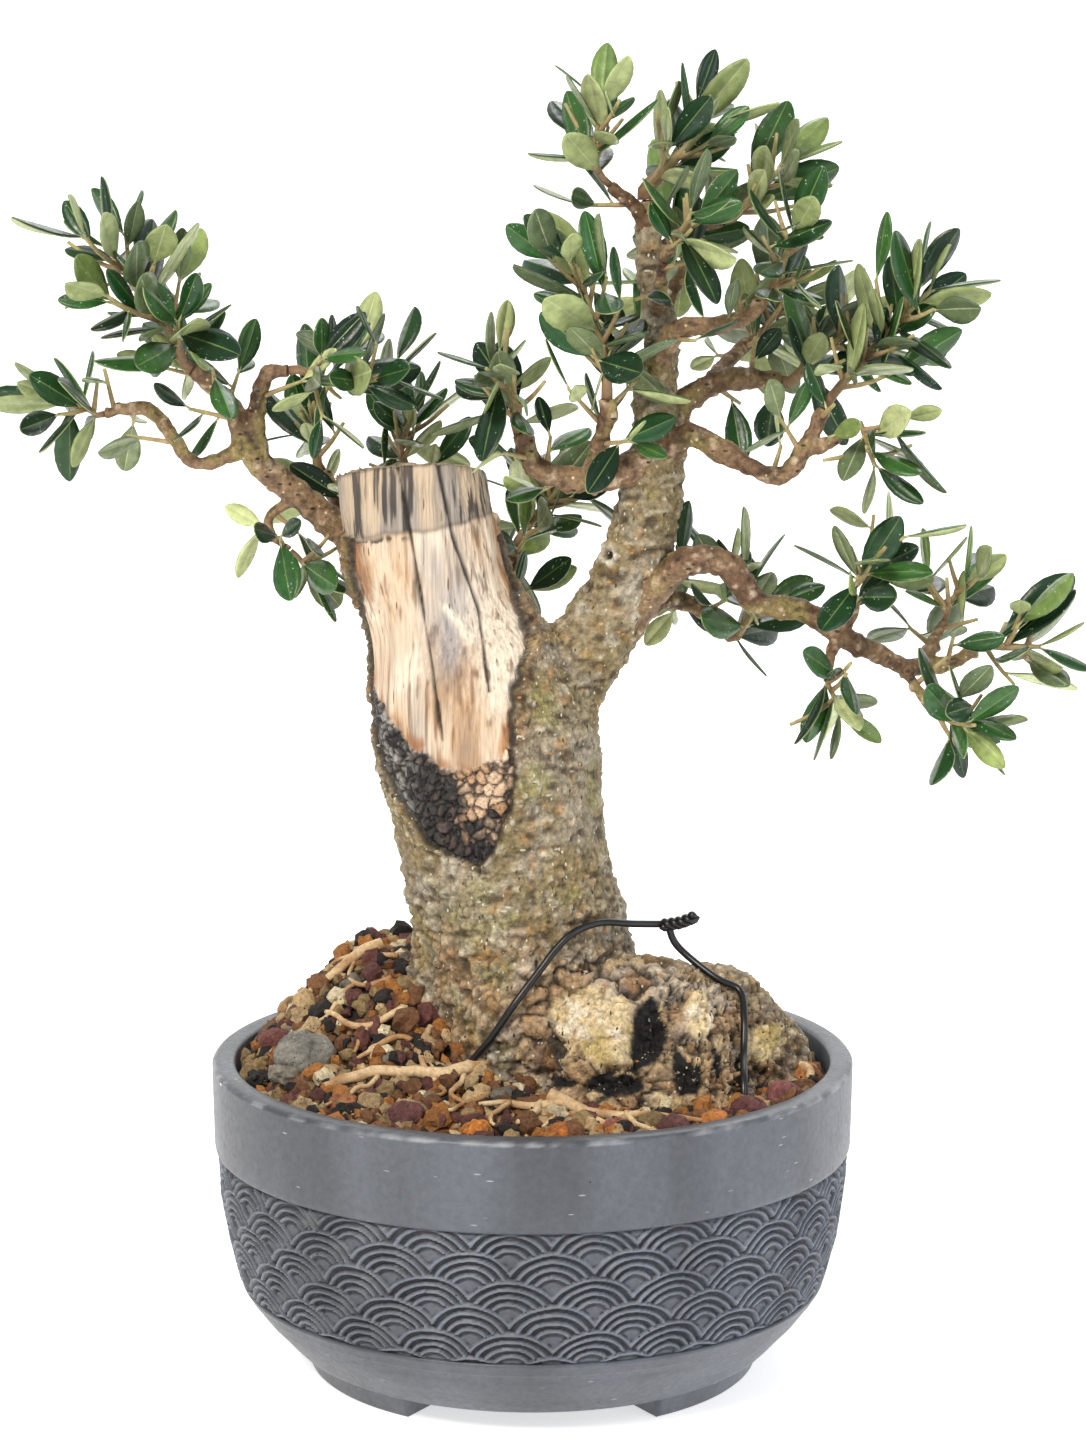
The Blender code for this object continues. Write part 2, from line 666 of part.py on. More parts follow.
def build_pot(parts, cutters):
    """The turned bowl with its three feet."""
    profile = [(0.0, FLOOR), *INNER_PROFILE, (RIM_RADIUS - WALL, RIM_HEIGHT - RIM_ROUND)]
    profile += [(RIM_RADIUS - WALL + RIM_ROUND, RIM_HEIGHT), (RIM_RADIUS - RIM_CHAMFER, RIM_HEIGHT)]
    profile += [(RIM_RADIUS, RIM_HEIGHT - RIM_CHAMFER), (WAVE_PROFILE[0][0] + BAND_PROUD, BAND_BOTTOM)]
    profile += [*WAVE_PROFILE, *FOOT_PROFILE, (0.0, FOOT_TOP)]
    pot = turned("pot", profile, POT_STEPS, parts)
    half_gap = math.radians((360.0 / FOOT_COUNT - FOOT_ARC) / 2)
    middle = (GAP_CUT_FROM + GAP_CUT_TO) / 2
    for foot in range(FOOT_COUNT):
        bm = bmesh.new()
        bmesh.ops.create_cube(bm, size=1.0)
        for vert in bm.verts:
            along = middle + vert.co.x * (GAP_CUT_TO - GAP_CUT_FROM)
            wide = 2 * along * math.tan(half_gap) * (GAP_TOP_NARROWING if vert.co.z > 0 else 1.0)
            height = GAP_CUT_TOP if vert.co.z > 0 else GAP_CUT_BELOW
            vert.co = Vector((along * MM, vert.co.y * wide * MM, height * MM))
        turn = math.radians(-90.0 + foot * 360.0 / FOOT_COUNT)
        bmesh.ops.transform(bm, matrix=Matrix.Rotation(turn, 4, "Z"), verts=bm.verts)
        cutter = as_cutter(mesh_object(f"foot_gap_{foot}", bm, cutters))
        boolean(pot, cutter, "DIFFERENCE")
    keep_largest(pot)
    shade(pot)
    paint(pot, CLAY)


def soil_height(x, y):
    """Height of the soil's surface: level at the edge, heaped behind the trunk's left side."""
    away = math.hypot(x - HEAP_CENTRE[0], y - HEAP_CENTRE[1]) / HEAP_RADIUS
    edge = 1.0 - min(1.0, math.hypot(x, y) / SOIL_RADIUS) ** RIM_POWER
    return SOIL_EDGE + HEAP_HEIGHT * edge / (1.0 + away**HEAP_POWER)


def build_soil(parts, trunk_cutter):
    """The soil that fills the pot, with the pocket that the trunk's foot sits in."""
    rings = [(SOIL_RADIUS * ring / SOIL_RINGS, SOIL_EDGE) for ring in range(SOIL_RINGS + 1)]
    wall = [(radius - GAP, height + GAP) for radius, height in reversed(INNER_PROFILE)]
    soil = turned("soil", [*rings, *wall, (0.0, FLOOR + GAP)], SOIL_STEPS, parts)
    for vert in soil.data.vertices:
        if vert.co.z > SOIL_WALL_TOP * MM:
            vert.co.z = soil_height(vert.co.x / MM, vert.co.y / MM) * MM
    boolean(soil, trunk_cutter, "DIFFERENCE")
    keep_largest(soil)
    shade(soil)
    paint(soil, GRIT)
    return soil


def trunk_line():
    """Points up the trunk's axis and the radius at each."""
    line = smooth_path(TRUNK_AXIS, LIMB_STEP)
    return line[:, :3], line[:, 3]


def dead_face(trunk, cutters):
    """What is carved off the stump's dead face: its outline run through, less the shrunken trunk."""
    heart = new_object("heartwood", trunk.data.copy(), cutters)
    shrink = heart.modifiers.new("shrink", "DISPLACE")
    shrink.mid_level = 0.0
    shrink.strength = -FACE_DEPTH * MM
    bake(heart)
    carved = prism("dead_face", FACE_OUTLINE, FACE_FRONT, FACE_BACK, cutters)
    boolean(carved, as_cutter(heart), "DIFFERENCE")
    return as_cutter(carved)


def build_trunk(parts, cutters):
    """The trunk with its swollen root and sawn stump, melted into one skin and cut flat at both ends."""
    path, radii = trunk_line()
    trunk = tube("trunk", path, radii, parts, resolution=TRUNK_SIDES)
    middle = Matrix.Diagonal((1.0, TRUNK_DEPTH, 1.0, 1.0))
    trunk.data.transform(middle)
    bm = bmesh.new()
    bm.from_mesh(trunk.data)
    for place, size in SWELLINGS:
        stretch = Matrix.Diagonal((*(value * MM for value in size), 1.0))
        shape = Matrix.Translation(metres([place])[0]) @ stretch
        bmesh.ops.create_uvsphere(bm, u_segments=ROUND_IT, v_segments=UP_IT, radius=1.0, matrix=shape)
    bm.to_mesh(trunk.data)
    bm.free()
    remesh = trunk.modifiers.new("skin", "REMESH")
    remesh.mode = "VOXEL"
    remesh.voxel_size = TRUNK_VOXEL * MM
    relax = trunk.modifiers.new("relax", "SMOOTH")
    relax.factor = TRUNK_RELAX
    relax.iterations = TRUNK_SMOOTHING
    lighten(trunk, TRUNK_KEEP)
    boolean(trunk, dead_face(trunk, cutters), "DIFFERENCE")
    saws = (("stump_saw", STUMP_TOP, SAW_DEPTH), ("foot_saw", TRUNK_FOOT - FOOT_SAW_DEPTH, FOOT_SAW_DEPTH))
    for name, bottom, depth in saws:
        saw = box(name, (SAW_SIZE, SAW_SIZE, depth), (0.0, 0.0, bottom + depth / 2), cutters)
        boolean(trunk, as_cutter(saw), "DIFFERENCE")
    keep_largest(trunk)
    shade(trunk)
    paint(trunk, BARK)
    return trunk


def grown_copy(obj, collection):
    """A copy of an object swollen by the gap, to cut its neighbours with."""
    copy = new_object(f"{obj.name}_clearance", obj.data.copy(), collection)
    swell = copy.modifiers.new("swell", "DISPLACE")
    swell.mid_level = 0.0
    swell.strength = GAP * CUT_SWELL * MM
    bake(copy)
    return as_cutter(copy)


def build_limb(limb, lines, parts, cutters):
    """One limb, cut clear of the limbs and trunk that it would run into."""
    path, radii = lines[limb.name]
    obj = tube(limb.name, path, radii, parts)
    for name, (other_path, other_radii) in lines.items():
        if name == limb.name:
            break
        away, share = distances(path, other_path[:-1], np.diff(other_path, axis=0))
        surface = away - other_radii[:-1] - np.diff(other_radii) * share
        if (surface.min(1) - radii).min() < 2 * GAP:
            boolean(obj, cutters.objects[f"{name}_clearance"], "DIFFERENCE")
    keep_largest(obj)
    shade(obj)
    paint(obj, YOUNG_BARK)
    as_cutter(tube(f"{limb.name}_clearance", lengthened(path), radii + GAP * LIMB_SWELL, cutters))


def lengthened(path):
    """A path drawn out by the gap at both ends."""
    longer = path.copy()
    longer[0] -= unit(path[1] - path[0]) * GAP
    longer[-1] += unit(path[-1] - path[-2]) * GAP
    return longer


def leaf_blade(name, root, along, face, length, width, collection):
    """One leaf: a six-sided blade, ridged above and flat below, whose root is sunk in its twig."""
    half_step = math.pi / LEAF_SIDES
    across = np.cross(along, face) / math.cos(half_step)
    centre = root + along * (length / 2 - LEAF_SUNK)
    frame = np.column_stack([along * length / 2, across * width / 2, face * LEAF_THICK, centre])
    matrix = Matrix(np.vstack([frame * MM, (0.0, 0.0, 0.0, 1.0)]).tolist())
    bm = bmesh.new()
    points_to_ends = Matrix.Rotation(half_step, 4, "Z")
    bmesh.ops.create_uvsphere(bm, u_segments=LEAF_SIDES, v_segments=2, radius=1.0, matrix=points_to_ends)
    bmesh.ops.dissolve_verts(bm, verts=[min(bm.verts, key=lambda vert: vert.co.z)])
    bmesh.ops.transform(bm, matrix=matrix, verts=bm.verts)
    bmesh.ops.recalc_face_normals(bm, faces=bm.faces)
    return mesh_object(name, bm, collection)


def twig_section(cutters):
    """The cross-section of a twig, one millimetre in radius."""
    curve = bpy.data.curves.new("twig_section", "CURVE")
    curve.dimensions = "2D"
    spline = curve.splines.new("POLY")
    spline.points.add(TWIG_SIDES - 1)
    for corner, point in enumerate(spline.points):
        turn = math.tau * corner / TWIG_SIDES
        point.co = (math.cos(turn) * MM, math.sin(turn) * MM, 0.0, 1.0)
    spline.use_cyclic_u = True
    return as_cutter(new_object("twig_section", curve, cutters))


def build_mass(index, limbs, wood, spaces, section, parts):
    """One mass: its stem, shoots and leaves joined by one Boolean union."""
    mass = MASSES[index]
    rng = random.Random(mass.seed)
    twigs = grow_twigs(index, MASSES, limbs, wood, spaces, rng)
    leaves = grow_leaves(index, twigs, wood, spaces, rng)
    joined = bpy.data.collections.new(mass.name + "_pieces")
    bpy.context.scene.collection.children.link(joined)
    pieces = []
    for number, (path, (first, last)) in enumerate(twigs):
        home = parts if number == 0 else joined
        name = mass.name if number == 0 else f"{mass.name}_twig_{number}"
        pieces.append(tube(name, path, np.linspace(first, last, len(path)), home, section=section))
    for number, leaf in enumerate(leaves):
        pieces.append(leaf_blade(f"{mass.name}_leaf_{number}", *leaf, joined))
    obj = pieces[0]
    boolean(obj, joined, "UNION", "MANIFOLD")
    for piece in pieces[1:]:
        drop(piece)
    bpy.data.collections.remove(joined)
    keep_largest(obj)
    lighten(obj, MASS_KEEP)
    paint(obj, LEAF)


def build_wire(parts, cutters):
    """The tie wire over the root: two legs that meet in a twist with a short tail."""
    legs = []
    for name, points in (("tie_wire", WIRE_LEFT_LEG), ("right_leg", WIRE_RIGHT_LEG), ("tail", WIRE_TAIL)):
        path = smooth_path(points, WIRE_STEP)
        home = cutters if legs else parts
        legs.append(tube(name, path, np.full(len(path), WIRE_RADIUS), home, resolution=WIRE_SIDES))
    wire = legs[0]
    for leg in legs[1:]:
        boolean(wire, leg, "UNION")
        drop(leg)
    for name in ("trunk_clearance", "soil_clearance"):
        boolean(wire, cutters.objects[name], "DIFFERENCE")
    keep_largest(wire)
    shade(wire)
    paint(wire, WIRE)


def settle_origin(parts):
    """Carry every piece on one empty that puts the bottom centre of the plant's box at the origin."""
    corners = np.array([vert.co for obj in parts.objects for vert in obj.data.vertices])
    centre = (corners.min(0) + corners.max(0)) / 2
    empty = new_object("plant", None, parts)
    empty.location = (-centre[0], -centre[1], -corners[:, 2].min())
    for obj in parts.objects:
        if obj is not empty:
            obj.parent = empty


def main():
    """Build the pot, soil, wood and leaves."""
    parts, cutters = clear_scene()
    limbs = {limb.name: limb for limb in LIMBS}
    lines = {"trunk": trunk_line()}
    lines.update({limb.name: limb_line(limb) for limb in LIMBS})
    trunk = build_trunk(parts, cutters)
    grown_copy(trunk, cutters)
    for limb in LIMBS:
        build_limb(limb, lines, parts, cutters)
    build_pot(parts, cutters)
    soil = build_soil(parts, cutters.objects["trunk_clearance"])
    grown_copy(soil, cutters)
    build_wire(parts, cutters)
    path, radii = lines.pop("trunk")
    below_saw = path[:, 2] < STUMP_TOP - STUMP_DOME
    wood = Wood([(path[below_saw], radii[below_saw]), *lines.values()])
    spaces = Spaces(MASSES, limbs)
    section = twig_section(cutters)
    for index in range(len(MASSES)):
        build_mass(index, limbs, wood, spaces, section, parts)
    settle_origin(parts)


main()
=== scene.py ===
"""The looks of an olive bonsai in a round grey pot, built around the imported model.

Lengths are in millimetres in the pot's own axes, with x = y = 0 on the pot's axis, z = 0 under its feet and
the front of the tree towards -Y, until a mesh is made: then they become metres in the frame of the model.
"""

import logging
import math
import random
from dataclasses import dataclass, field
from enum import IntEnum

import bmesh
import bpy
import numpy as np
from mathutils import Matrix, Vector


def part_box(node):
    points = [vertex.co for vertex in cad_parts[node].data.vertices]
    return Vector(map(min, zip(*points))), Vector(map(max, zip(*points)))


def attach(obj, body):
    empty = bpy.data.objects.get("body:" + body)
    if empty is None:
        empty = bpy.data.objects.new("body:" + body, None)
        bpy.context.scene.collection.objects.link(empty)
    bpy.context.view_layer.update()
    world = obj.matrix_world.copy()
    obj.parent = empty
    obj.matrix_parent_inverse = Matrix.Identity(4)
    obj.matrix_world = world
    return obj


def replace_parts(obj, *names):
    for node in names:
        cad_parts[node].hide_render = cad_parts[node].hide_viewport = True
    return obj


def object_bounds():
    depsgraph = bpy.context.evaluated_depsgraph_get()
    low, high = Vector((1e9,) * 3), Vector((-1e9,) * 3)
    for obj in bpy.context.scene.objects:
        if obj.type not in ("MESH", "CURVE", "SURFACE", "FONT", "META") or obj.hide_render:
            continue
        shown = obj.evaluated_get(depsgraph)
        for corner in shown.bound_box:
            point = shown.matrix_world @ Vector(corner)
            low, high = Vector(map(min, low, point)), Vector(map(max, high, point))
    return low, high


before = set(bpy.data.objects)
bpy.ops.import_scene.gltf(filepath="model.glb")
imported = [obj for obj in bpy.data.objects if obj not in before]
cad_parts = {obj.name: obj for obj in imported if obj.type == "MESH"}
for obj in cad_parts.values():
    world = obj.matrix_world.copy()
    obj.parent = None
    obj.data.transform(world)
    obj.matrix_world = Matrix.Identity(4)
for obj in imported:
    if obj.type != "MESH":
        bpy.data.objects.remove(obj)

LOG = logging.getLogger("olive_bonsai")
CAD_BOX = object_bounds()
MM = 0.001
UP = np.array((0.0, 0.0, 1.0))
BODY = "root"
POT_LOW, POT_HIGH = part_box("pot")
POT_AXIS = np.array(((POT_LOW.x + POT_HIGH.x) / 2, (POT_LOW.y + POT_HIGH.y) / 2, 0.0))


# Plain helpers: colours, numbers that look random, nodes and meshes


def linear(code: str) -> tuple[float, float, float, float]:
    """Turn an sRGB hex colour into a linear one.

    Args:
        code: Six hex digits after a hash.

    Returns:
        Red, green, blue and alpha.
    """
    channels = [int(code[start : start + 2], 16) / 255 for start in (1, 3, 5)]
    curved = [value / 12.92 if value <= 0.04045 else ((value + 0.055) / 1.055) ** 2.4 for value in channels]
    return (*curved, 1.0)


def tone(code: str) -> np.ndarray:
    """A hex colour as three linear numbers."""
    return np.array(linear(code)[:3])


def hashed(cell: np.ndarray, salt: int) -> np.ndarray:
    """Give each whole-numbered cell its own repeatable number.

    Args:
        cell: Whole numbers, three to a row.
        salt: Picks another set of numbers.

    Returns:
        One number from 0 to 1 for each row.
    """
    key = cell.astype(np.int64).astype(np.uint32)
    mixed = key[..., 0] * np.uint32(73856093) ^ key[..., 1] * np.uint32(19349663)
    mixed = mixed ^ key[..., 2] * np.uint32(83492791) ^ np.uint32((salt * 2654435761) & 0xFFFFFFFF)
    mixed = (mixed ^ (mixed >> np.uint32(16))) * np.uint32(0x7FEB352D)
    mixed = (mixed ^ (mixed >> np.uint32(15))) * np.uint32(0x846CA68B)
    return (mixed ^ (mixed >> np.uint32(16))) / 4294967296.0


def noise(points: np.ndarray, size: float, salt: int, octaves: int = 1) -> np.ndarray:
    """Smooth noise in space.

    Args:
        points: Places, three numbers to a row.
        size: The width of a bump, in the points' unit.
        salt: Picks another pattern.
        octaves: How many finer layers are added.

    Returns:
        Numbers from about -1 to 1.
    """
    total = np.zeros(len(points))
    for octave in range(octaves):
        scaled = points / (size / 2**octave)
        base = np.floor(scaled)
        part = scaled - base
        part = part * part * (3 - 2 * part)
        value = np.zeros(len(points))
        for corner in np.ndindex(2, 2, 2):
            weight = np.prod(np.where(corner, part, 1 - part), axis=1)
            value += weight * hashed(base + np.array(corner), salt + octave)
        total += (2 * value - 1) / 2**octave
    return total


def cells(points: np.ndarray, size: float, salt: int) -> tuple[np.ndarray, np.ndarray, np.ndarray]:
    """Scattered cells in space, as in cracked bark or gravel.

    Args:
        points: Places, three numbers to a row.
        size: The width of a cell.
        salt: Picks another pattern.

    Returns:
        Distance to the cell's middle, distance to its border, and a number from 0 to 1 for the cell.
    """
    scaled = points / size
    base = np.floor(scaled)
    first = np.full(len(points), 9.0)
    second = np.full(len(points), 9.0)
    owner = np.zeros(len(points))
    for corner in np.ndindex(3, 3, 3):
        cell = base + np.array(corner) - 1
        seat = cell + np.stack([hashed(cell, salt + 11 * axis) for axis in range(3)], 1)
        away = np.linalg.norm(scaled - seat, axis=1)
        nearer = away < first
        second = np.where(nearer, first, np.minimum(second, away))
        owner = np.where(nearer, hashed(cell, salt + 77), owner)
        first = np.where(nearer, away, first)
    return first * size, (second - first) * size, owner


def ramp(value: np.ndarray, low: float, high: float) -> np.ndarray:
    """A smooth step from 0 at low to 1 at high."""
    share = np.clip((value - low) / (high - low), 0.0, 1.0)
    return share * share * (3 - 2 * share)


def hump(distance: np.ndarray, width: float) -> np.ndarray:
    """A smooth rise to 1 where the distance is nought, gone beyond about twice the width."""
    return np.exp(-((distance / width) ** 2))


def sway(points: np.ndarray, size: float, salts: tuple, octaves: int) -> np.ndarray:
    """Three noises side by side, to push places about."""
    return np.stack([noise(points, size, salt, octaves) for salt in salts], 1)


def mix(first: np.ndarray, second: np.ndarray, share: np.ndarray) -> np.ndarray:
    """Blend two colours, or two sets of colours, row by row."""
    return first + (second - first) * np.asarray(share)[:, None]


def clouded(
    colours: np.ndarray, points: np.ndarray, code: str, share: float, size: float, salt: int, edge: tuple
) -> np.ndarray:
    """Lay cloudy patches of one colour over others.

    Args:
        colours: What lies under them.
        points: Places.
        code: The patches' colour in sRGB hex.
        share: How much they cover at most.
        size: Their width.
        salt: Picks another pattern.
        edge: Where in the noise they begin and where they are full.

    Returns:
        The colours with the patches.
    """
    return mix(colours, tone(code), share * ramp(noise(points, size, salt, 2), *edge))


def add_node(
    tree: bpy.types.NodeTree, kind: str, links: dict | None = None, **settings: object
) -> bpy.types.Node:
    """Add a node with its settings and links.

    Args:
        tree: The material's node tree.
        kind: The node's type name without the leading ShaderNode.
        links: Input name or number to the output socket that feeds it, or to a plain value.
        settings: The node's own properties.

    Returns:
        The node.
    """
    made = tree.nodes.new("ShaderNode" + kind)
    for name, value in settings.items():
        setattr(made, name, value)
    for name, value in (links or {}).items():
        if isinstance(value, bpy.types.NodeSocket):
            tree.links.new(value, made.inputs[name])
        else:
            made.inputs[name].default_value = value
    return made


def mesh_piece(
    name: str, points: np.ndarray, faces: list | np.ndarray, smooth: bool = True
) -> bpy.types.Object:
    """Make a mesh object from places in millimetres round the pot's axis.

    Args:
        name: The piece's name.
        points: Places, three numbers to a row.
        faces: Corner numbers of each face.
        smooth: Whether its faces are shaded smooth.

    Returns:
        The object, linked and riding on the plant's body.
    """
    mesh = bpy.data.meshes.new(name)
    places = np.asarray(points) * MM + POT_AXIS
    mesh.from_pydata(places.tolist(), [], faces.tolist() if isinstance(faces, np.ndarray) else faces)
    if smooth:
        mesh.shade_smooth()
    mesh.validate()
    obj = bpy.data.objects.new(name, mesh)
    bpy.context.scene.collection.objects.link(obj)
    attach(obj, BODY)
    LOG.info("%s: %d faces", name, len(mesh.polygons))
    return obj


def give_tint(obj: bpy.types.Object, colours: np.ndarray) -> None:
    """Store a colour at each point of a mesh, for its finish to start from.

    Args:
        obj: The piece.
        colours: Linear colours, one to a point.
    """
    values = np.ones((len(colours), 4), np.float32)
    values[:, :3] = np.clip(colours, 0.0, 1.0)
    obj.data.color_attributes.new("tint", "FLOAT_COLOR", "POINT").data.foreach_set("color", values.ravel())


def dress(obj: bpy.types.Object, slot: str, *finishes: "Finish") -> None:
    """Give a piece its finishes.

    Args:
        obj: The piece.
        slot: Not used.
        finishes: Its finishes, in the order of its material numbers.
    """
    obj.data.materials.clear()
    for finish in finishes:
        obj.data.materials.append(finish.material())


def grid_faces(rows: int, columns: int, closed: bool) -> np.ndarray:
    """Lay quads over a grid of points.

    Args:
        rows: How many rows of points.
        columns: How many points to a row.
        closed: Whether the last column joins the first.

    Returns:
        Four corner numbers for each quad.
    """
    row = np.arange(rows - 1)[:, None] * columns
    column = np.arange(columns if closed else columns - 1)[None, :]
    after = (column + 1) % columns
    corners = [row + column, row + after, row + columns + after, row + columns + column]
    return np.stack(corners, -1).reshape(-1, 4)


# Curves


def unit(vector: np.ndarray) -> np.ndarray:
    """The vector at length 1."""
    return vector / np.linalg.norm(vector)


def smooth_path(points: tuple | np.ndarray, step: float) -> np.ndarray:
    """Read a Catmull-Rom curve through points.

    Args:
        points: What it goes through. Numbers after the third, such as a radius, are eased along with it.
        step: About how far apart it is read.

    Returns:
        The points read.
    """
    given = np.asarray(points, float)
    ends = np.vstack([2 * given[0] - given[1], given, 2 * given[-1] - given[-2]])
    path = []
    for start in range(len(given) - 1):
        before, first, second, after = ends[start : start + 4]
        count = max(1, int(round(np.linalg.norm((second - first)[:3]) / step)))
        for t in np.arange(count) / count:
            bend = (second - before) * t + (2 * before - 5 * first + 4 * second - after) * t**2
            path.append(first + 0.5 * (bend + (3 * first - before - 3 * second + after) * t**3))
    path.append(given[-1])
    return np.array(path)


def lengths_along(path: np.ndarray) -> np.ndarray:
    """The distance from the start to each point of a path."""
    return np.concatenate([[0.0], np.cumsum(np.linalg.norm(np.diff(path, axis=0), axis=1))])


def place_at(path: np.ndarray, lengths: np.ndarray, length: float) -> tuple[np.ndarray, np.ndarray]:
    """Find a place along a path.

    Args:
        path: The path's points.
        lengths: The distance from its start to each.
        length: How far along.

    Returns:
        The place and the direction there.
    """
    after = max(1, min(int(np.searchsorted(lengths, length)), len(lengths) - 1))
    share = min(1.0, (length - lengths[after - 1]) / (lengths[after] - lengths[after - 1]))
    run = path[after] - path[after - 1]
    return path[after - 1] + run * share, unit(run)


def distances(points: np.ndarray, starts: np.ndarray, runs: np.ndarray) -> tuple[np.ndarray, np.ndarray]:
    """Measure from every point to every straight run.

    Args:
        points: Places.
        starts: Where each run starts.
        runs: From each run's start to its end.

    Returns:
        The distances, and the share of the run where it is nearest.
    """
    share = ((points[:, None, :] - starts) * runs).sum(-1) / (runs**2).sum(-1)
    share = np.clip(share, 0.0, 1.0)
    nearest = starts + runs * share[..., None]
    return np.linalg.norm(points[:, None, :] - nearest, axis=-1), share


def tube_mesh(path: np.ndarray, radii: np.ndarray, sides: int, salt: int = 0) -> tuple[np.ndarray, list]:
    """A round tube along a path, a little uneven when given a salt.

    Args:
        path: Places along its middle.
        radii: Its radius at each.
        sides: Points round it.
        salt: Picks the unevenness, or 0 for a true tube.

    Returns:
        Points and faces, closed at both ends.
    """
    along = np.gradient(path, axis=0)
    along /= np.linalg.norm(along, axis=1, keepdims=True)
    side = unit(np.cross(along[0], (0.31, 0.9, 0.27)))
    rings = []
    for place, run, radius in zip(path, along, radii):
        side = unit(side - run * side.dot(run))
        other = np.cross(run, side)
        turn = np.arange(sides) * math.tau / sides
        rings.append(place + radius * (np.cos(turn)[:, None] * side + np.sin(turn)[:, None] * other))
    points = np.vstack(rings)
    if salt:
        middle = np.repeat(path, sides, axis=0)
        points = middle + (points - middle) * (1 + 0.12 * noise(points, 3.0, salt, 2))[:, None]
    faces = grid_faces(len(path), sides, True).tolist()
    faces.append(list(range(sides))[::-1])
    faces.append(list(range(len(points) - sides, len(points))))
    return points, faces


class Heap:
    """Many small meshes gathered into one."""

    def __init__(self) -> None:
        """Start empty."""
        self.points: list[np.ndarray] = []
        self.faces: list[list[int]] = []
        self.tints: list[np.ndarray] = []
        self.slots: list[int] = []
        self.count = 0

    def add(self, points: np.ndarray, faces: list, tint: np.ndarray, slots: list | None = None) -> None:
        """Put one more mesh in.

        Args:
            points: Its places.
            faces: Its faces' corner numbers.
            tint: One colour for all of it, or one for each point.
            slots: The material slot of each face.
        """
        self.points.append(points)
        self.faces.extend([[corner + self.count for corner in face] for face in faces])
        self.tints.append(np.broadcast_to(tint, (len(points), 3)))
        self.slots.extend(slots or [0] * len(faces))
        self.count += len(points)

    def piece(self, name: str, smooth: bool = True) -> bpy.types.Object:
        """Make one piece of what was gathered.

        Args:
            name: The piece's name.
            smooth: Whether its faces are shaded smooth.

        Returns:
            The piece, with its tints and material numbers.
        """
        obj = mesh_piece(name, np.vstack(self.points), self.faces, smooth)
        give_tint(obj, np.vstack(self.tints))
        obj.data.polygons.foreach_set("material_index", np.array(self.slots, np.int32))
        return obj


# Finishes


@dataclass(frozen=True)
class Speck:
    """Spots over a finish: colour, spacing, size as a share of it, how they are drawn out, how often."""

    colour: str
    mm: float
    share: float
    stretch: tuple = (1.0, 1.0, 1.0)
    often: float = 0.55


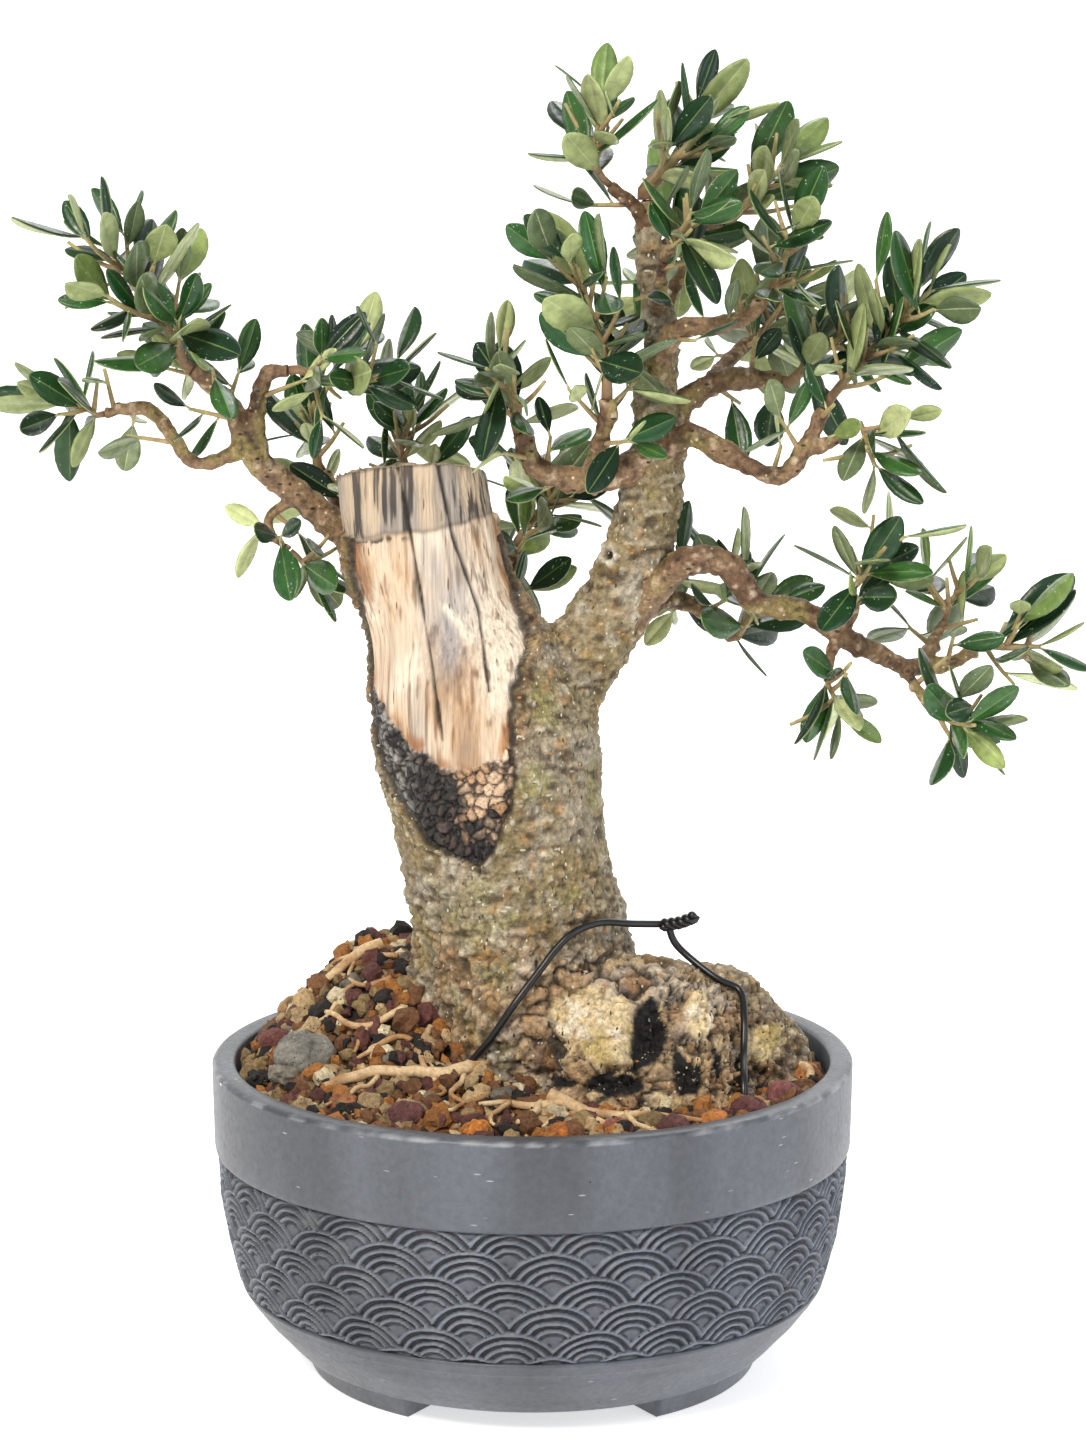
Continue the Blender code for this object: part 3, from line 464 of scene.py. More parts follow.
@dataclass(frozen=True)
class Finish:
    """A Principled finish whose colour starts from the mesh's tint and is broken up by fine grain."""

    name: str
    roughness: float
    grain_mm: float
    grain_share: float
    bump_mm: float
    bump_size_mm: float
    rough_spread: float = 0.1
    stretch: tuple = (1.0, 1.0, 1.0)
    coat: float = 0.0
    specular: float = 0.5
    specks: tuple[Speck, ...] = ()

    def material(self) -> bpy.types.Material:
        """Make the material, once.

        Returns:
            The material.
        """
        found = bpy.data.materials.get(self.name)
        if found:
            return found
        made = bpy.data.materials.new(self.name)
        made.use_nodes = True
        tree = made.node_tree
        shader = tree.nodes["Principled BSDF"]
        spot = add_node(tree, "TexCoord").outputs["Object"]
        place = add_node(tree, "Mapping", {"Vector": spot, "Scale": self.stretch}).outputs["Vector"]
        tint = add_node(tree, "Attribute", attribute_name="tint").outputs["Color"]
        grain = add_node(
            tree,
            "TexNoise",
            {"Vector": place, "Scale": 1 / (self.grain_mm * MM), "Detail": 4.0, "Roughness": 0.65},
        )
        shade = add_node(
            tree,
            "MapRange",
            {"Value": grain.outputs["Fac"], "From Min": 0.3, "From Max": 0.7, "To Min": 1 - self.grain_share,
             "To Max": 1 + self.grain_share},
        )
        scaled = add_node(
            tree, "VectorMath", {0: tint, 1: shade.outputs["Result"]}, operation="MULTIPLY"
        ).outputs["Vector"]
        colour = scaled
        for speck in self.specks:
            colour = self.specked(tree, spot, colour, speck)
        tree.links.new(colour, shader.inputs["Base Color"])
        rough = add_node(
            tree,
            "MapRange",
            {"Value": grain.outputs["Fac"], "From Min": 0.3, "From Max": 0.7,
             "To Min": self.roughness + self.rough_spread, "To Max": self.roughness - self.rough_spread},
        )
        tree.links.new(rough.outputs["Result"], shader.inputs["Roughness"])
        relief = add_node(
            tree, "TexNoise", {"Vector": place, "Scale": 1 / (self.bump_size_mm * MM), "Detail": 3.0}
        )
        bump = add_node(
            tree, "Bump", {"Height": relief.outputs["Fac"], "Distance": self.bump_mm * MM, "Strength": 1.0}
        )
        tree.links.new(bump.outputs["Normal"], shader.inputs["Normal"])
        shader.inputs["Coat Weight"].default_value = self.coat
        shader.inputs["Coat Roughness"].default_value = 0.2
        shader.inputs["Specular IOR Level"].default_value = self.specular
        return made

    @staticmethod
    def specked(
        tree: bpy.types.NodeTree, spot: bpy.types.NodeSocket, colour: bpy.types.NodeSocket, speck: Speck
    ) -> bpy.types.NodeSocket:
        """Scatter one kind of speck over the surface.

        Args:
            tree: The material's node tree.
            spot: Where on the piece.
            colour: The colour under the specks.
            speck: The kind of speck.

        Returns:
            The colour with its specks.
        """
        place = add_node(tree, "Mapping", {"Vector": spot, "Scale": speck.stretch}).outputs["Vector"]
        cell = add_node(tree, "TexVoronoi", {"Vector": place, "Scale": 1 / (speck.mm * MM)})
        inside = add_node(
            tree,
            "MapRange",
            {"Value": cell.outputs["Distance"], "From Min": speck.share, "From Max": speck.share * 0.7},
        )
        chance = add_node(
            tree, "TexNoise", {"Vector": place, "Scale": 1 / (speck.mm * 2.3 * MM), "Detail": 1.0}
        )
        often = add_node(
            tree,
            "MapRange",
            {"Value": chance.outputs["Fac"], "From Min": speck.often - 0.05, "From Max": speck.often + 0.05},
        )
        share = add_node(
            tree, "Math", {0: inside.outputs["Result"], 1: often.outputs["Result"]}, operation="MULTIPLY"
        )
        blended = add_node(
            tree, "Mix", {0: share.outputs["Value"], 6: colour, 7: linear(speck.colour)}, data_type="RGBA"
        )
        return blended.outputs[2]


# Live olive bark: dry, olive-tan, finely scaled and pricked with pale lenticels.
LIVE_BARK = Finish(
    "rough_olive_bark", 0.76, 2.0, 0.55, 0.9, 1.5,
    specks=(Speck("#42331f", 2.6, 0.20, (1.0, 1.0, 0.45), 0.5), Speck("#b57f40", 3.1, 0.17, (0.6, 0.6, 1.0)),
            Speck("#cdc6b3", 2.3, 0.18, (1.0, 1.0, 0.6), 0.5),
            Speck("#bcb5a2", 3.6, 0.15, (0.4, 0.4, 1.1), 0.52)),
)
# Young boughs: thinner, browner bark with a dull satin look.
BOUGH_BARK = Finish(
    "olive_bough_bark", 0.66, 1.8, 0.50, 0.7, 1.4,
    specks=(Speck("#2f2015", 2.6, 0.22, (0.5, 0.5, 1.0), 0.5), Speck("#cdb894", 3.0, 0.19)),
)
# Bare heartwood: silvery to cream, its grain drawn out along the trunk.
BARE_WOOD = Finish(
    "weathered_olive_wood", 0.72, 1.0, 0.30, 0.35, 0.8, stretch=(1.0, 1.0, 0.05),
    specks=(Speck("#6b4d33", 1.6, 0.22, (1.0, 1.0, 0.12), 0.58),),
)
# Charred wood: cracked into blocks, black with a faint glint.
CHAR = Finish("charred_olive_wood", 0.5, 1.2, 0.5, 0.4, 0.9, rough_spread=0.2)
# Twig ends: smooth, pale grey-green skin.
TWIG_SKIN = Finish("olive_twig_skin", 0.6, 2.0, 0.24, 0.1, 0.8)
# Upper side of an olive leaf: leathery, waxy gloss with dried water spots.
LEAF_TOP = Finish(
    "olive_leaf_upper", 0.34, 4.0, 0.30, 0.16, 2.2, specular=0.42,
    specks=(Speck("#9db3a0", 1.4, 0.24, often=0.6),),
)
# Underside of an olive leaf: felted with fine scales, matt and pale.
LEAF_UNDER = Finish(
    "olive_leaf_felt", 0.62, 3.2, 0.14, 0.12, 1.6, specular=0.3,
    specks=(Speck("#dfe4c6", 1.9, 0.24, often=0.6), Speck("#5f6d43", 2.6, 0.12, often=0.6)),
)
# Cast clay body, dark grey, rubbed to a satin sheen on its plain bands.
POT_CLAY = Finish(
    "grey_cast_clay", 0.42, 2.4, 0.15, 0.06, 1.2, rough_spread=0.06,
    specks=(Speck("#8d9197", 3.4, 0.10, (0.25, 0.25, 1.2), 0.5), Speck("#15171a", 15.0, 0.045, often=0.48),
            Speck("#cfd0d0", 14.0, 0.035, (0.3, 0.3, 1.0), 0.5)),
)
# The same clay in the carved waves: a little drier, pricked with casting pits.
WAVE_CLAY = Finish(
    "grey_carved_clay", 0.5, 2.0, 0.16, 0.10, 0.8, specks=(Speck("#1f2124", 4.5, 0.10, often=0.5),)
)
# Soil grit: dry crumbs of baked clay and lava, porous.
GRIT = Finish("baked_clay_grit", 0.86, 1.3, 0.42, 0.4, 1.0, specks=(Speck("#1d1510", 1.7, 0.20, often=0.52),))
# Fine roots: dry, papery and pale.
ROOT_SKIN = Finish(
    "dry_root", 0.8, 1.6, 0.28, 0.2, 0.9, specks=(Speck("#5d422a", 2.2, 0.2, (0.5, 0.5, 1.0)),)
)
# Anodised aluminium wire: black with a soft gloss.
WIRE = Finish("anodised_wire", 0.34, 3.0, 0.1, 0.02, 1.0, rough_spread=0.05)


# Limbs and masses: the plan that the solids were grown from


@dataclass(frozen=True)
class Limb:
    """One tapering limb: a few points along it and its radius at each end."""

    name: str
    path: tuple
    base: float
    tip: float


@dataclass(frozen=True)
class Mass:
    """One leaf mass: the limb it ends, where its stem goes on to, its leaves' reach and its shoots."""

    name: str
    limb: str
    path: tuple
    reach: float
    shoots: int
    seed: int


LIMBS = (
    Limb("live_leader", ((-4, 2, 214), (10, 4, 236), (28, 5, 262), (37, 5, 286), (43, 5, 318)),
         17, 9.5),
    Limb("crown_leader", ((42, 5, 312), (41, 7, 330), (43, 8, 352), (40, 8, 376),
         (38, 8, 398)), 8.5, 4.2),
    Limb("left_bough", ((-32, 12, 252), (-50, 24, 272), (-78, 23, 296), (-92, 22, 308),
         (-97, 21, 319)), 6.6, 4.4),
    Limb("left_top_bough", ((-96, 21, 315), (-104, 18, 331), (-115, 16, 341)), 4, 2.6),
    Limb("left_inner_bough", ((-95, 21, 312), (-93, 16, 330), (-89, 13, 340),
         (-82, 12, 341)), 3.8, 2.5),
    Limb("left_outer_twig", ((-96, 20, 316), (-108, 17, 310), (-117, 16, 311),
         (-129, 18, 327), (-145, 19, 326)), 2.8, 1.7),
    Limb("left_hanging_twig", ((-80, 24, 297), (-90, 24, 291), (-89, 23, 284),
         (-83, 22, 279)), 1.9, 1.4),
    Limb("back_left_bough", ((-34, 14, 268), (-52, 36, 284), (-66, 40, 293), (-73, 40, 304)),
         4.6, 2.8),
    Limb("back_bough", ((-34, 12, 272), (-38, 38, 284), (-44, 46, 304)), 4.4, 2.6),
    Limb("back_right_bough", ((-20, 14, 240), (-14, 42, 256), (-6, 52, 276)), 5, 2.8),
    Limb("hooked_bough", ((40, 3, 312), (26, -4, 307), (12, -5, 306), (1, -6, 311),
         (-4, -8, 322)), 5.2, 3.2),
    Limb("front_riser", ((22, -4, 307), (22, -15, 317), (24.6, -21, 328),
         (24.6, -22, 334)), 3.6, 2.7),
    Limb("crossing_bough", ((40, 6, 338), (47, -3, 355), (60, -5, 357), (71, -4, 360),
         (77, -3, 366)), 4.2, 2.6),
    Limb("top_left_twig", ((40, 8, 386), (34, 4, 396), (26, 2, 403)), 2.8, 1.9),
    Limb("top_right_bough", ((40, 8, 378), (52, 11, 388), (64, 12, 391)), 3, 2),
    Limb("front_twig", ((42, 6, 362), (42, -10, 371), (43, -17, 379)), 2.8, 1.9),
    Limb("back_crown_bough", ((42, 8, 348), (45, 28, 360), (50, 40, 370)), 3.4, 2.2),
    Limb("right_upper_bough", ((43, 6, 312), (50, 14, 329), (61, 17, 336),
         (72, 18, 338), (84, 19, 337)), 5.4, 3),
    Limb("back_right_bough_high", ((62, 17, 336), (66, 32, 342), (74, 44, 348)),
         3, 2),
    Limb("right_lower_bough", ((42, 4, 313), (52, -5, 321), (63, -8, 316),
         (74, -10, 310), (84, -10, 308), (91, -10, 318), (97, -10, 330)), 4.6, 2.4),
    Limb("right_spur", ((90, -10, 316), (99, -13, 319), (106, -16, 324)), 2, 1.5),
    Limb("back_loop", ((32, 6, 258), (46, 22, 262), (60, 27, 257), (66, 29, 250)), 4.4, 2.6),
    Limb("low_right_bough", ((30, 4, 256), (43, -3, 271), (54, -6, 279), (66, -5, 277),
         (75, -5, 265), (92, -5, 261), (110, -6, 250), (128, -7, 243), (142, -8, 245), (148, -8, 249)),
         6, 2.6),
    Limb("low_right_spur", ((103, -6, 254), (107, -9, 262), (107, -10, 267)), 2.2, 1.7),
    Limb("low_right_underspur", ((103, -6, 254), (100, -11, 248), (99, -13, 243)),
         1.9, 1.4),
    Limb("low_right_riser", ((132, -7, 243.5), (136, -1, 252), (139, 2, 257)), 1.9, 1.4),
    Limb("low_right_hanger", ((124, -7, 244.5), (129, -17, 237), (133, -20, 231)),
         2.2, 1.6),
)
MASSES = (
    Mass("leaves_left_top", "left_top_bough", ((-121, 14, 352), (-130, 12, 364), (-142, 10, 382)),
         46, 6, 131),
    Mass("leaves_left_tip", "left_outer_twig", ((-150, 19, 327), (-158, 18, 330)), 35, 2, 94),
    Mass("leaves_left_inner", "left_inner_bough", ((-65, 12, 337), (-48, 11, 339)), 35, 5, 102),
    Mass("leaves_left_low", "left_hanging_twig", ((-79, 21, 275), (-75, 19, 271)), 32, 1, 95),
    Mass("leaves_back_left", "back_left_bough", ((-75, 41, 318), (-77, 38, 328)), 34, 4, 130),
    Mass("leaves_behind_stump", "back_bough", ((-46, 48, 311), (-44, 48, 318)), 36, 5, 119),
    Mass("leaves_behind_fork", "back_right_bough", ((2, 56, 288), (9, 58, 296)), 36, 5, 76),
    Mass("leaves_centre_left", "hooked_bough", ((-5, -11, 332), (-13, -14, 343)), 39, 5, 72),
    Mass("leaves_front_centre", "front_riser", ((23.5, -22, 349), (19, -21, 363), (15, -20, 377)),
         43, 6, 85),
    Mass("leaves_top_left", "top_left_twig", ((20, 2, 412), (23, 2, 428)), 39, 5, 85),
    Mass("leaves_apex", "crown_leader", ((44, 8, 408), (57, 8, 421)), 44, 6, 73),
    Mass("leaves_top_right", "top_right_bough", ((74, 12, 398), (83, 12, 409)), 39, 5, 7),
    Mass("leaves_crown_front", "front_twig", ((48, -20, 388), (54, -22, 392)), 36, 5, 122),
    Mass("leaves_crossing", "crossing_bough", ((82, -8, 376), (86, -14, 388)), 40, 5, 144),
    Mass("leaves_crown_back", "back_crown_bough", ((53, 50, 378), (55, 54, 388)), 38, 6, 41),
    Mass("leaves_right_upper", "right_upper_bough", ((97, 18, 346), (112, 14, 358)), 40, 6, 36),
    Mass("leaves_right_back", "back_right_bough_high", ((82, 54, 354), (88, 60, 362)), 39, 6, 70),
    Mass("leaves_right_outer", "right_lower_bough", ((104, -11, 340), (116, -12, 354), (131, -12, 369)),
         42, 7, 12),
    Mass("leaves_right_lower", "right_spur", ((110, -18, 320), (113, -20, 312)), 38, 4, 147),
    Mass("leaves_behind_leader", "back_loop", ((71, 30, 248), (75, 31, 257), (73, 31, 268)), 36, 4, 1),
    Mass("leaves_low_right_mid", "low_right_spur", ((109, -11, 272), (113, -11, 283)), 38, 5, 73),
    Mass("leaves_low_right_inner", "low_right_underspur", ((100, -16, 236), (103, -18, 230)), 33, 2, 67),
    Mass("leaves_low_right_upper", "low_right_riser", ((141, 3, 263), (146, 4, 270)), 35, 4, 23),
    Mass("leaves_low_right_under", "low_right_hanger", ((138, -21, 228), (144, -22, 225)), 35, 4, 2),
    Mass("leaves_low_right_tip", "low_right_bough", ((158, -8, 250), (170, -8, 250)), 34, 5, 44),
)

LEADERS = ("live_leader", "crown_leader")
LIMB_STEP = 8.5
TAPER_POWER = 0.8
TRUNK_AXIS = ((8, 2, 78, 40), (2, 1, 116, 39), (-4, 0, 150, 36), (-10, 0, 179, 35), (-15, 0, 213, 37.5),
              (-23, 0, 240, 34), (-31, 0, 262, 27), (-36, 0, 286, 25.7), (-40, 0, 320, 24.3))
STUMP_TOP = 306.0
STUMP_DOME = 10.0
GAP = 0.3
STEM_STRAIGHT = 3.0
GOLDEN_ANGLE = math.radians(137.5)
FAR = 1e6


def limb_line(limb: Limb, step: float = LIMB_STEP) -> tuple[np.ndarray, np.ndarray]:
    """Read a limb.

    Args:
        limb: The limb.
        step: About how far apart it is read.

    Returns:
        Points along it and the radius at each.
    """
    path = smooth_path(limb.path, step)
    share = lengths_along(path)
    return path, limb.base + (limb.tip - limb.base) * (share / share[-1]) ** TAPER_POWER


class Wood:
    """All limbs and the trunk as rounded tapering runs, for clearances."""

    def __init__(self, lines: list[tuple[np.ndarray, np.ndarray]]) -> None:
        """Part each line into straight runs.

        Args:
            lines: Points along each limb and the radius at each.
        """
        self.starts = np.vstack([path[:-1] for path, _ in lines])
        self.runs = np.vstack([np.diff(path, axis=0) for path, _ in lines])
        self.radii = np.concatenate([radii[:-1] for _, radii in lines])
        self.tapers = np.concatenate([np.diff(radii) for _, radii in lines])

    def clearance(self, points: np.ndarray) -> float:
        """The least distance from any of the points to the wood's surface."""
        away, share = distances(points, self.starts, self.runs)
        return float((away - self.radii - self.tapers * share).min())


class Spaces:
    """Each mass's own space: what lies nearer its stem than any other's, measured in their reaches."""

    def __init__(self, masses: tuple[Mass, ...], limbs: dict[str, Limb]) -> None:
        """Lay out each mass's stem.

        Args:
            masses: The masses.
            limbs: The limbs by name.
        """
        self.reach = np.array([mass.reach for mass in masses], float)
        self.stems = []
        for mass in masses:
            path, _ = limb_line(limbs[mass.limb])
            onward = unit(path[-1] - path[-2])
            seat = path[-1] + onward * GAP
            self.stems.append(np.vstack([seat, seat + onward * STEM_STRAIGHT, np.asarray(mass.path, float)]))

    def holds(self, points: np.ndarray, index: int, margin: float) -> bool:
        """Test whether places lie in a mass's own space.

        Args:
            points: The places.
            index: The mass's number.
            margin: How far they have to keep from the border.

        Returns:
            Whether all of them do.
        """
        away = []
        for stem in self.stems:
            away.append(distances(points, stem[:-1], np.diff(stem, axis=0))[0].min(1))
        shares = np.stack(away, 1) / self.reach
        own = shares[:, index]
        others = np.delete(shares, index, 1).min(1)
        return bool((own < 1.0).all() and (others - own > margin / self.reach[index]).all())


def around(axis: np.ndarray, angle: float, reference: tuple) -> np.ndarray:
    """The direction square to an axis at an angle from the reference's side."""
    across = unit(np.cross(axis, reference))
    return across * math.cos(angle) + np.cross(axis, across) * math.sin(angle)


@dataclass(frozen=True)
class Leaf:
    """One leaf: where it leaves its twig, how it lies, its size and whether it is young."""

    root: np.ndarray
    along: np.ndarray
    face: np.ndarray
    length: float
    width: float
    young: bool


@dataclass
class Spray:
    """One leaf mass grown on its stem: shoots by the golden angle, then pairs of leaves down each."""

    index: int
    limbs: dict[str, Limb]
    wood: Wood
    spaces: Spaces
    twigs: list = field(default_factory=list)
    leaves: list = field(default_factory=list)
    room: tuple = (-FAR, FAR)
    taken: np.ndarray = field(default_factory=lambda: np.full((1, 3), FAR))
    stem_step: float = 7.0
    stem_share: float = 0.72
    stem_end_radius: float = 0.75
    shoots_from: float = 0.1
    shoots_span: float = 0.8
    shoot_side: tuple = (0.3, 0.9, 0.2)
    shoot_wander: float = 0.4
    shoot_lean: float = 0.5
    shoot_lift: float = 0.2
    shoot_rise: float = 0.22
    shoot_length: float = 18.0
    shoot_lengths: tuple = (0.6, 1.15)
    shoot_reach: float = 38.0
    shoot_turns: int = 2
    shoot_radii: tuple = (1.0, 0.6)
    shoot_margin: float = 1.5
    node_step: float = 5.5
    sprouts: int = 6
    sprout_step: float = 4.0
    sprout_span: float = 40.0
    sprout_lengths: tuple = (10.0, 18.0)
    leaf_side: tuple = (0.35, 0.25, 0.9)
    pair_wander: float = 0.3
    end_pair_back: float = 0.6
    first_leaf: float = 2.5
    end_splay: tuple = (16.0, 34.0)
    splay: tuple = (44.0, 82.0)
    roll: float = 0.55
    leaf_length: float = 27.0
    leaf_lengths: tuple = (0.72, 1.2)
    end_leaf: float = 0.88
    leaf_width: float = 0.42
    leaf_widths: tuple = (0.85, 1.15)
    leaf_margin: float = 1.2
    leaves_apart: float = 3.6
    wood_clear: float = 1.0
    outline: tuple = ((0.0, 0.06), (0.12, 0.22), (0.25, 0.44), (0.5, 0.5), (0.75, 0.44), (0.88, 0.22),
                      (1.0, 0.0))

    @property
    def mass(self) -> Mass:
        """The mass that this spray fills."""
        return MASSES[self.index]

    def grow(self, seed: int, shoots: int) -> None:
        """Grow the stem, its shoots and their leaves.

        Args:
            seed: Starts the random numbers.
            shoots: How many shoots are tried.
        """
        rng = random.Random(seed)
        grown = self.grow_twigs(shoots, rng)
        self.grow_leaves(grown, rng)
        self.twigs.extend(grown if not self.twigs else grown[1:])

    def grow_twigs(self, shoots: int, rng: random.Random) -> list:
        """The stem of the mass and its shoots.

        Args:
            shoots: How many shoots are tried.
            rng: The random numbers.

        Returns:
            Each twig's path with its two end radii, the stem first.
        """
        stem = smooth_path(self.spaces.stems[self.index], self.stem_step)
        twigs = [(stem, (self.limbs[self.mass.limb].tip * self.stem_share, self.stem_end_radius))]
        lengths = lengths_along(stem)
        phase = rng.uniform(0.0, math.tau)
        for shoot in range(shoots):
            share = self.shoots_from + self.shoots_span * (shoot + 0.5) / shoots
            root, along = place_at(stem, lengths, lengths[-1] * share)
            turn = phase + GOLDEN_ANGLE * shoot + rng.uniform(-self.shoot_wander, self.shoot_wander)
            out = around(along, turn, self.shoot_side)
            heading = unit(along * self.shoot_lean + out + UP * self.shoot_lift)
            step = self.shoot_length * rng.uniform(*self.shoot_lengths)
            step *= self.mass.reach / self.shoot_reach / self.shoot_turns
            path = [root]
            for _ in range(self.shoot_turns):
                heading = unit(heading + UP * self.shoot_rise)
                path.append(path[-1] + heading * step)
            path = np.array(path)
            clear = self.wood.clearance(path[1:]) > self.wood_clear + self.shoot_radii[1]
            if clear and self.spaces.holds(path[1:], self.index, self.shoot_margin):
                twigs.append((path, self.shoot_radii))
        return twigs

    def aim_leaf(self, axis: np.ndarray, turn: float, at_end: bool, rng: random.Random) -> tuple:
        """Aim a leaf.

        Args:
            axis: The twig's direction.
            turn: Where round the twig the leaf stands.
            at_end: Whether it is one of the end pair.
            rng: The random numbers.

        Returns:
            Which way it points and which way its upper face looks.
        """
        out = around(axis, turn, self.leaf_side)
        splay = math.radians(rng.uniform(*(self.end_splay if at_end else self.splay)))
        along = unit(axis * math.cos(splay) + out * math.sin(splay))
        face = unit(axis - along * axis.dot(along))
        roll = rng.uniform(-self.roll, self.roll)
        return along, face * math.cos(roll) + np.cross(along, face) * math.sin(roll)

    def grow_leaves(self, twigs: list, rng: random.Random) -> None:
        """Opposite pairs of leaves down each twig from its end, leaving out what would touch or stray.

        Args:
            twigs: The twigs that bear them.
            rng: The random numbers.
        """
        outline = np.array(self.outline)
        for path, _ in twigs:
            lengths = lengths_along(path)
            spin = rng.uniform(0.0, math.pi)
            for pair in range(int(lengths[-1] / self.node_step) + 1):
                at_end = pair == 0
                back = pair * self.node_step + (self.end_pair_back if at_end else 0.0)
                if lengths[-1] - back < self.first_leaf:
                    continue
                root, axis = place_at(path, lengths, lengths[-1] - back)
                for side in (0.0, math.pi):
                    wander = rng.uniform(-self.pair_wander, self.pair_wander)
                    turn = spin + pair * math.pi / 2 + side + wander
                    along, face = self.aim_leaf(axis, turn, at_end, rng)
                    length = self.leaf_length * rng.uniform(*self.leaf_lengths)
                    length *= self.end_leaf if at_end else 1.0
                    width = length * self.leaf_width * rng.uniform(*self.leaf_widths)
                    middle = root + along * length * outline[:, :1]
                    edge = np.cross(along, face) * width * outline[:, 1:]
                    points = np.vstack([middle, middle + edge, middle - edge])
                    if np.linalg.norm(self.taken[:, None] - points[2:], axis=-1).min() < self.leaves_apart:
                        continue
                    clear = self.wood.clearance(points) >= self.wood_clear
                    if not clear or not self.spaces.holds(points, self.index, self.leaf_margin):
                        continue
                    if (points < self.room[0]).any() or (points > self.room[1]).any():
                        continue
                    self.taken = np.vstack([self.taken, middle[3:]])
                    self.leaves.append(Leaf(root, along, face, length, width, at_end))

    def sprout(self, seed: int) -> None:
        """Grow short leafy twigs on the mass's own limb, with leaves only where the mass reaches.

        Args:
            seed: Starts the random numbers.
        """
        rng = random.Random(seed)
        path, _ = limb_line(self.limbs[self.mass.limb], self.sprout_step)
        lengths = lengths_along(path)
        phase = rng.uniform(0.0, math.tau)
        for number in range(self.sprouts):
            back = self.sprout_span * (number + 0.5) / self.sprouts
            if back > lengths[-1]:
                break
            root, along = place_at(path, lengths, lengths[-1] - back)
            out = around(along, phase + GOLDEN_ANGLE * number, self.shoot_side)
            heading = unit(out + UP * self.shoot_lean + along * self.shoot_lift)
            twig = root + heading * rng.uniform(*self.sprout_lengths) * np.array((0.0, 0.5, 1.0))[:, None]
            before = len(self.leaves)
            self.grow_leaves([(twig, self.shoot_radii)], rng)
            if len(self.leaves) > before:
                self.twigs.append((twig, self.shoot_radii))


def melted(heap: Heap, voxel: float, relax: int, smoothing: float = 0.5) -> tuple:
    """Melt overlapping closed shapes into one skin.

    Args:
        heap: The shapes.
        voxel: The skin's grid step in millimetres.
        relax: How many times the skin is relaxed.
        smoothing: How strongly each time.

    Returns:
        Points, faces and the normal at each point.
    """
    mesh = bpy.data.meshes.new("melt")
    mesh.from_pydata(np.vstack(heap.points).tolist(), [], heap.faces)
    obj = bpy.data.objects.new("melt", mesh)
    bpy.context.scene.collection.objects.link(obj)
    skin = obj.modifiers.new("skin", "REMESH")
    skin.mode = "VOXEL"
    skin.voxel_size = voxel
    soften = obj.modifiers.new("soften", "SMOOTH")
    soften.factor = smoothing
    soften.iterations = relax
    done = obj.evaluated_get(bpy.context.evaluated_depsgraph_get()).to_mesh()
    points = np.empty(len(done.vertices) * 3, np.float32)
    done.vertices.foreach_get("co", points)
    normals = np.empty(len(done.vertices) * 3, np.float32)
    done.vertex_normals.foreach_get("vector", normals)
    faces = np.empty(len(done.loops), np.int32)
    done.loops.foreach_get("vertex_index", faces)
    bpy.data.objects.remove(obj)
    bpy.data.meshes.remove(mesh)
    return points.reshape(-1, 3).astype(float), faces.reshape(-1, 4), normals.reshape(-1, 3).astype(float)


def refined(points: np.ndarray, faces: np.ndarray, chosen: np.ndarray) -> tuple[np.ndarray, list, np.ndarray]:
    """Split some faces of a skin in four, so that finer relief can show on them.

    Args:
        points: The skin's places.
        faces: Its faces.
        chosen: Whether each point lies on the part to split.

    Returns:
        Points, faces and the normal at each point.
    """
    bm = bmesh.new()
    verts = [bm.verts.new(point) for point in points.tolist()]
    for face in faces.tolist():
        bm.faces.new([verts[corner] for corner in face])
    bm.verts.index_update()
    edges = [edge for edge in bm.edges if chosen[edge.verts[0].index] and chosen[edge.verts[1].index]]
    bmesh.ops.subdivide_edges(bm, edges=edges, cuts=1, use_grid_fill=True)
    bm.normal_update()
    bm.verts.index_update()
    places = np.array([vert.co for vert in bm.verts])
    normals = np.array([vert.normal for vert in bm.verts])
    split = [[vert.index for vert in face.verts] for face in bm.faces]
    bm.free()
    return places, split, normals


def ball(centre: tuple, size: tuple, segments: int = 32, rings: int = 20) -> tuple[np.ndarray, list]:
    """Make an ellipsoid.

    Args:
        centre: Its middle.
        size: Its three half-widths.
        segments: Points round it.
        rings: Bands from bottom to top.

    Returns:
        Points and faces.
    """
    rise = np.linspace(0.0, math.pi, rings + 1)[1:-1]
    turn = np.arange(segments) * math.tau / segments
    ring = np.stack(
        [np.outer(np.sin(rise), np.cos(turn)), np.outer(np.sin(rise), np.sin(turn)),
         np.outer(-np.cos(rise), np.ones(segments))], -1
    ).reshape(-1, 3)
    points = np.vstack([ring, (0.0, 0.0, -1.0), (0.0, 0.0, 1.0)])
    points = points * np.array(size, float) + np.array(centre, float)
    faces = grid_faces(rings - 1, segments, True).tolist()
    low, high = len(ring), len(ring) + 1
    top = len(ring) - segments
    for corner in range(segments):
        after = (corner + 1) % segments
        faces.append([low, after, corner])
        faces.append([high, top + corner, top + after])
    return points, faces


def near_line(points: np.ndarray, line: tuple) -> np.ndarray:
    """Measure to a line drawn on the front, in x and z.

    Args:
        points: Places.
        line: The line's corners.

    Returns:
        The distance from each place.
    """
    drawn = np.array(line, float)
    flat = points[:, (0, 2)]
    return distances(flat, drawn[:-1], np.diff(drawn, axis=0))[0].min(1)


def above_line(points: np.ndarray, line: tuple) -> np.ndarray:
    """How far each point lies above a line drawn in x and z from left to right."""
    drawn = np.array(line, float)
    return points[:, 2] - np.interp(points[:, 0], drawn[:, 0], drawn[:, 1])


class Zone(IntEnum):
    """What a place on the trunk is made of."""

    BARK = 0
    BARE = 1
    CHAR = 2


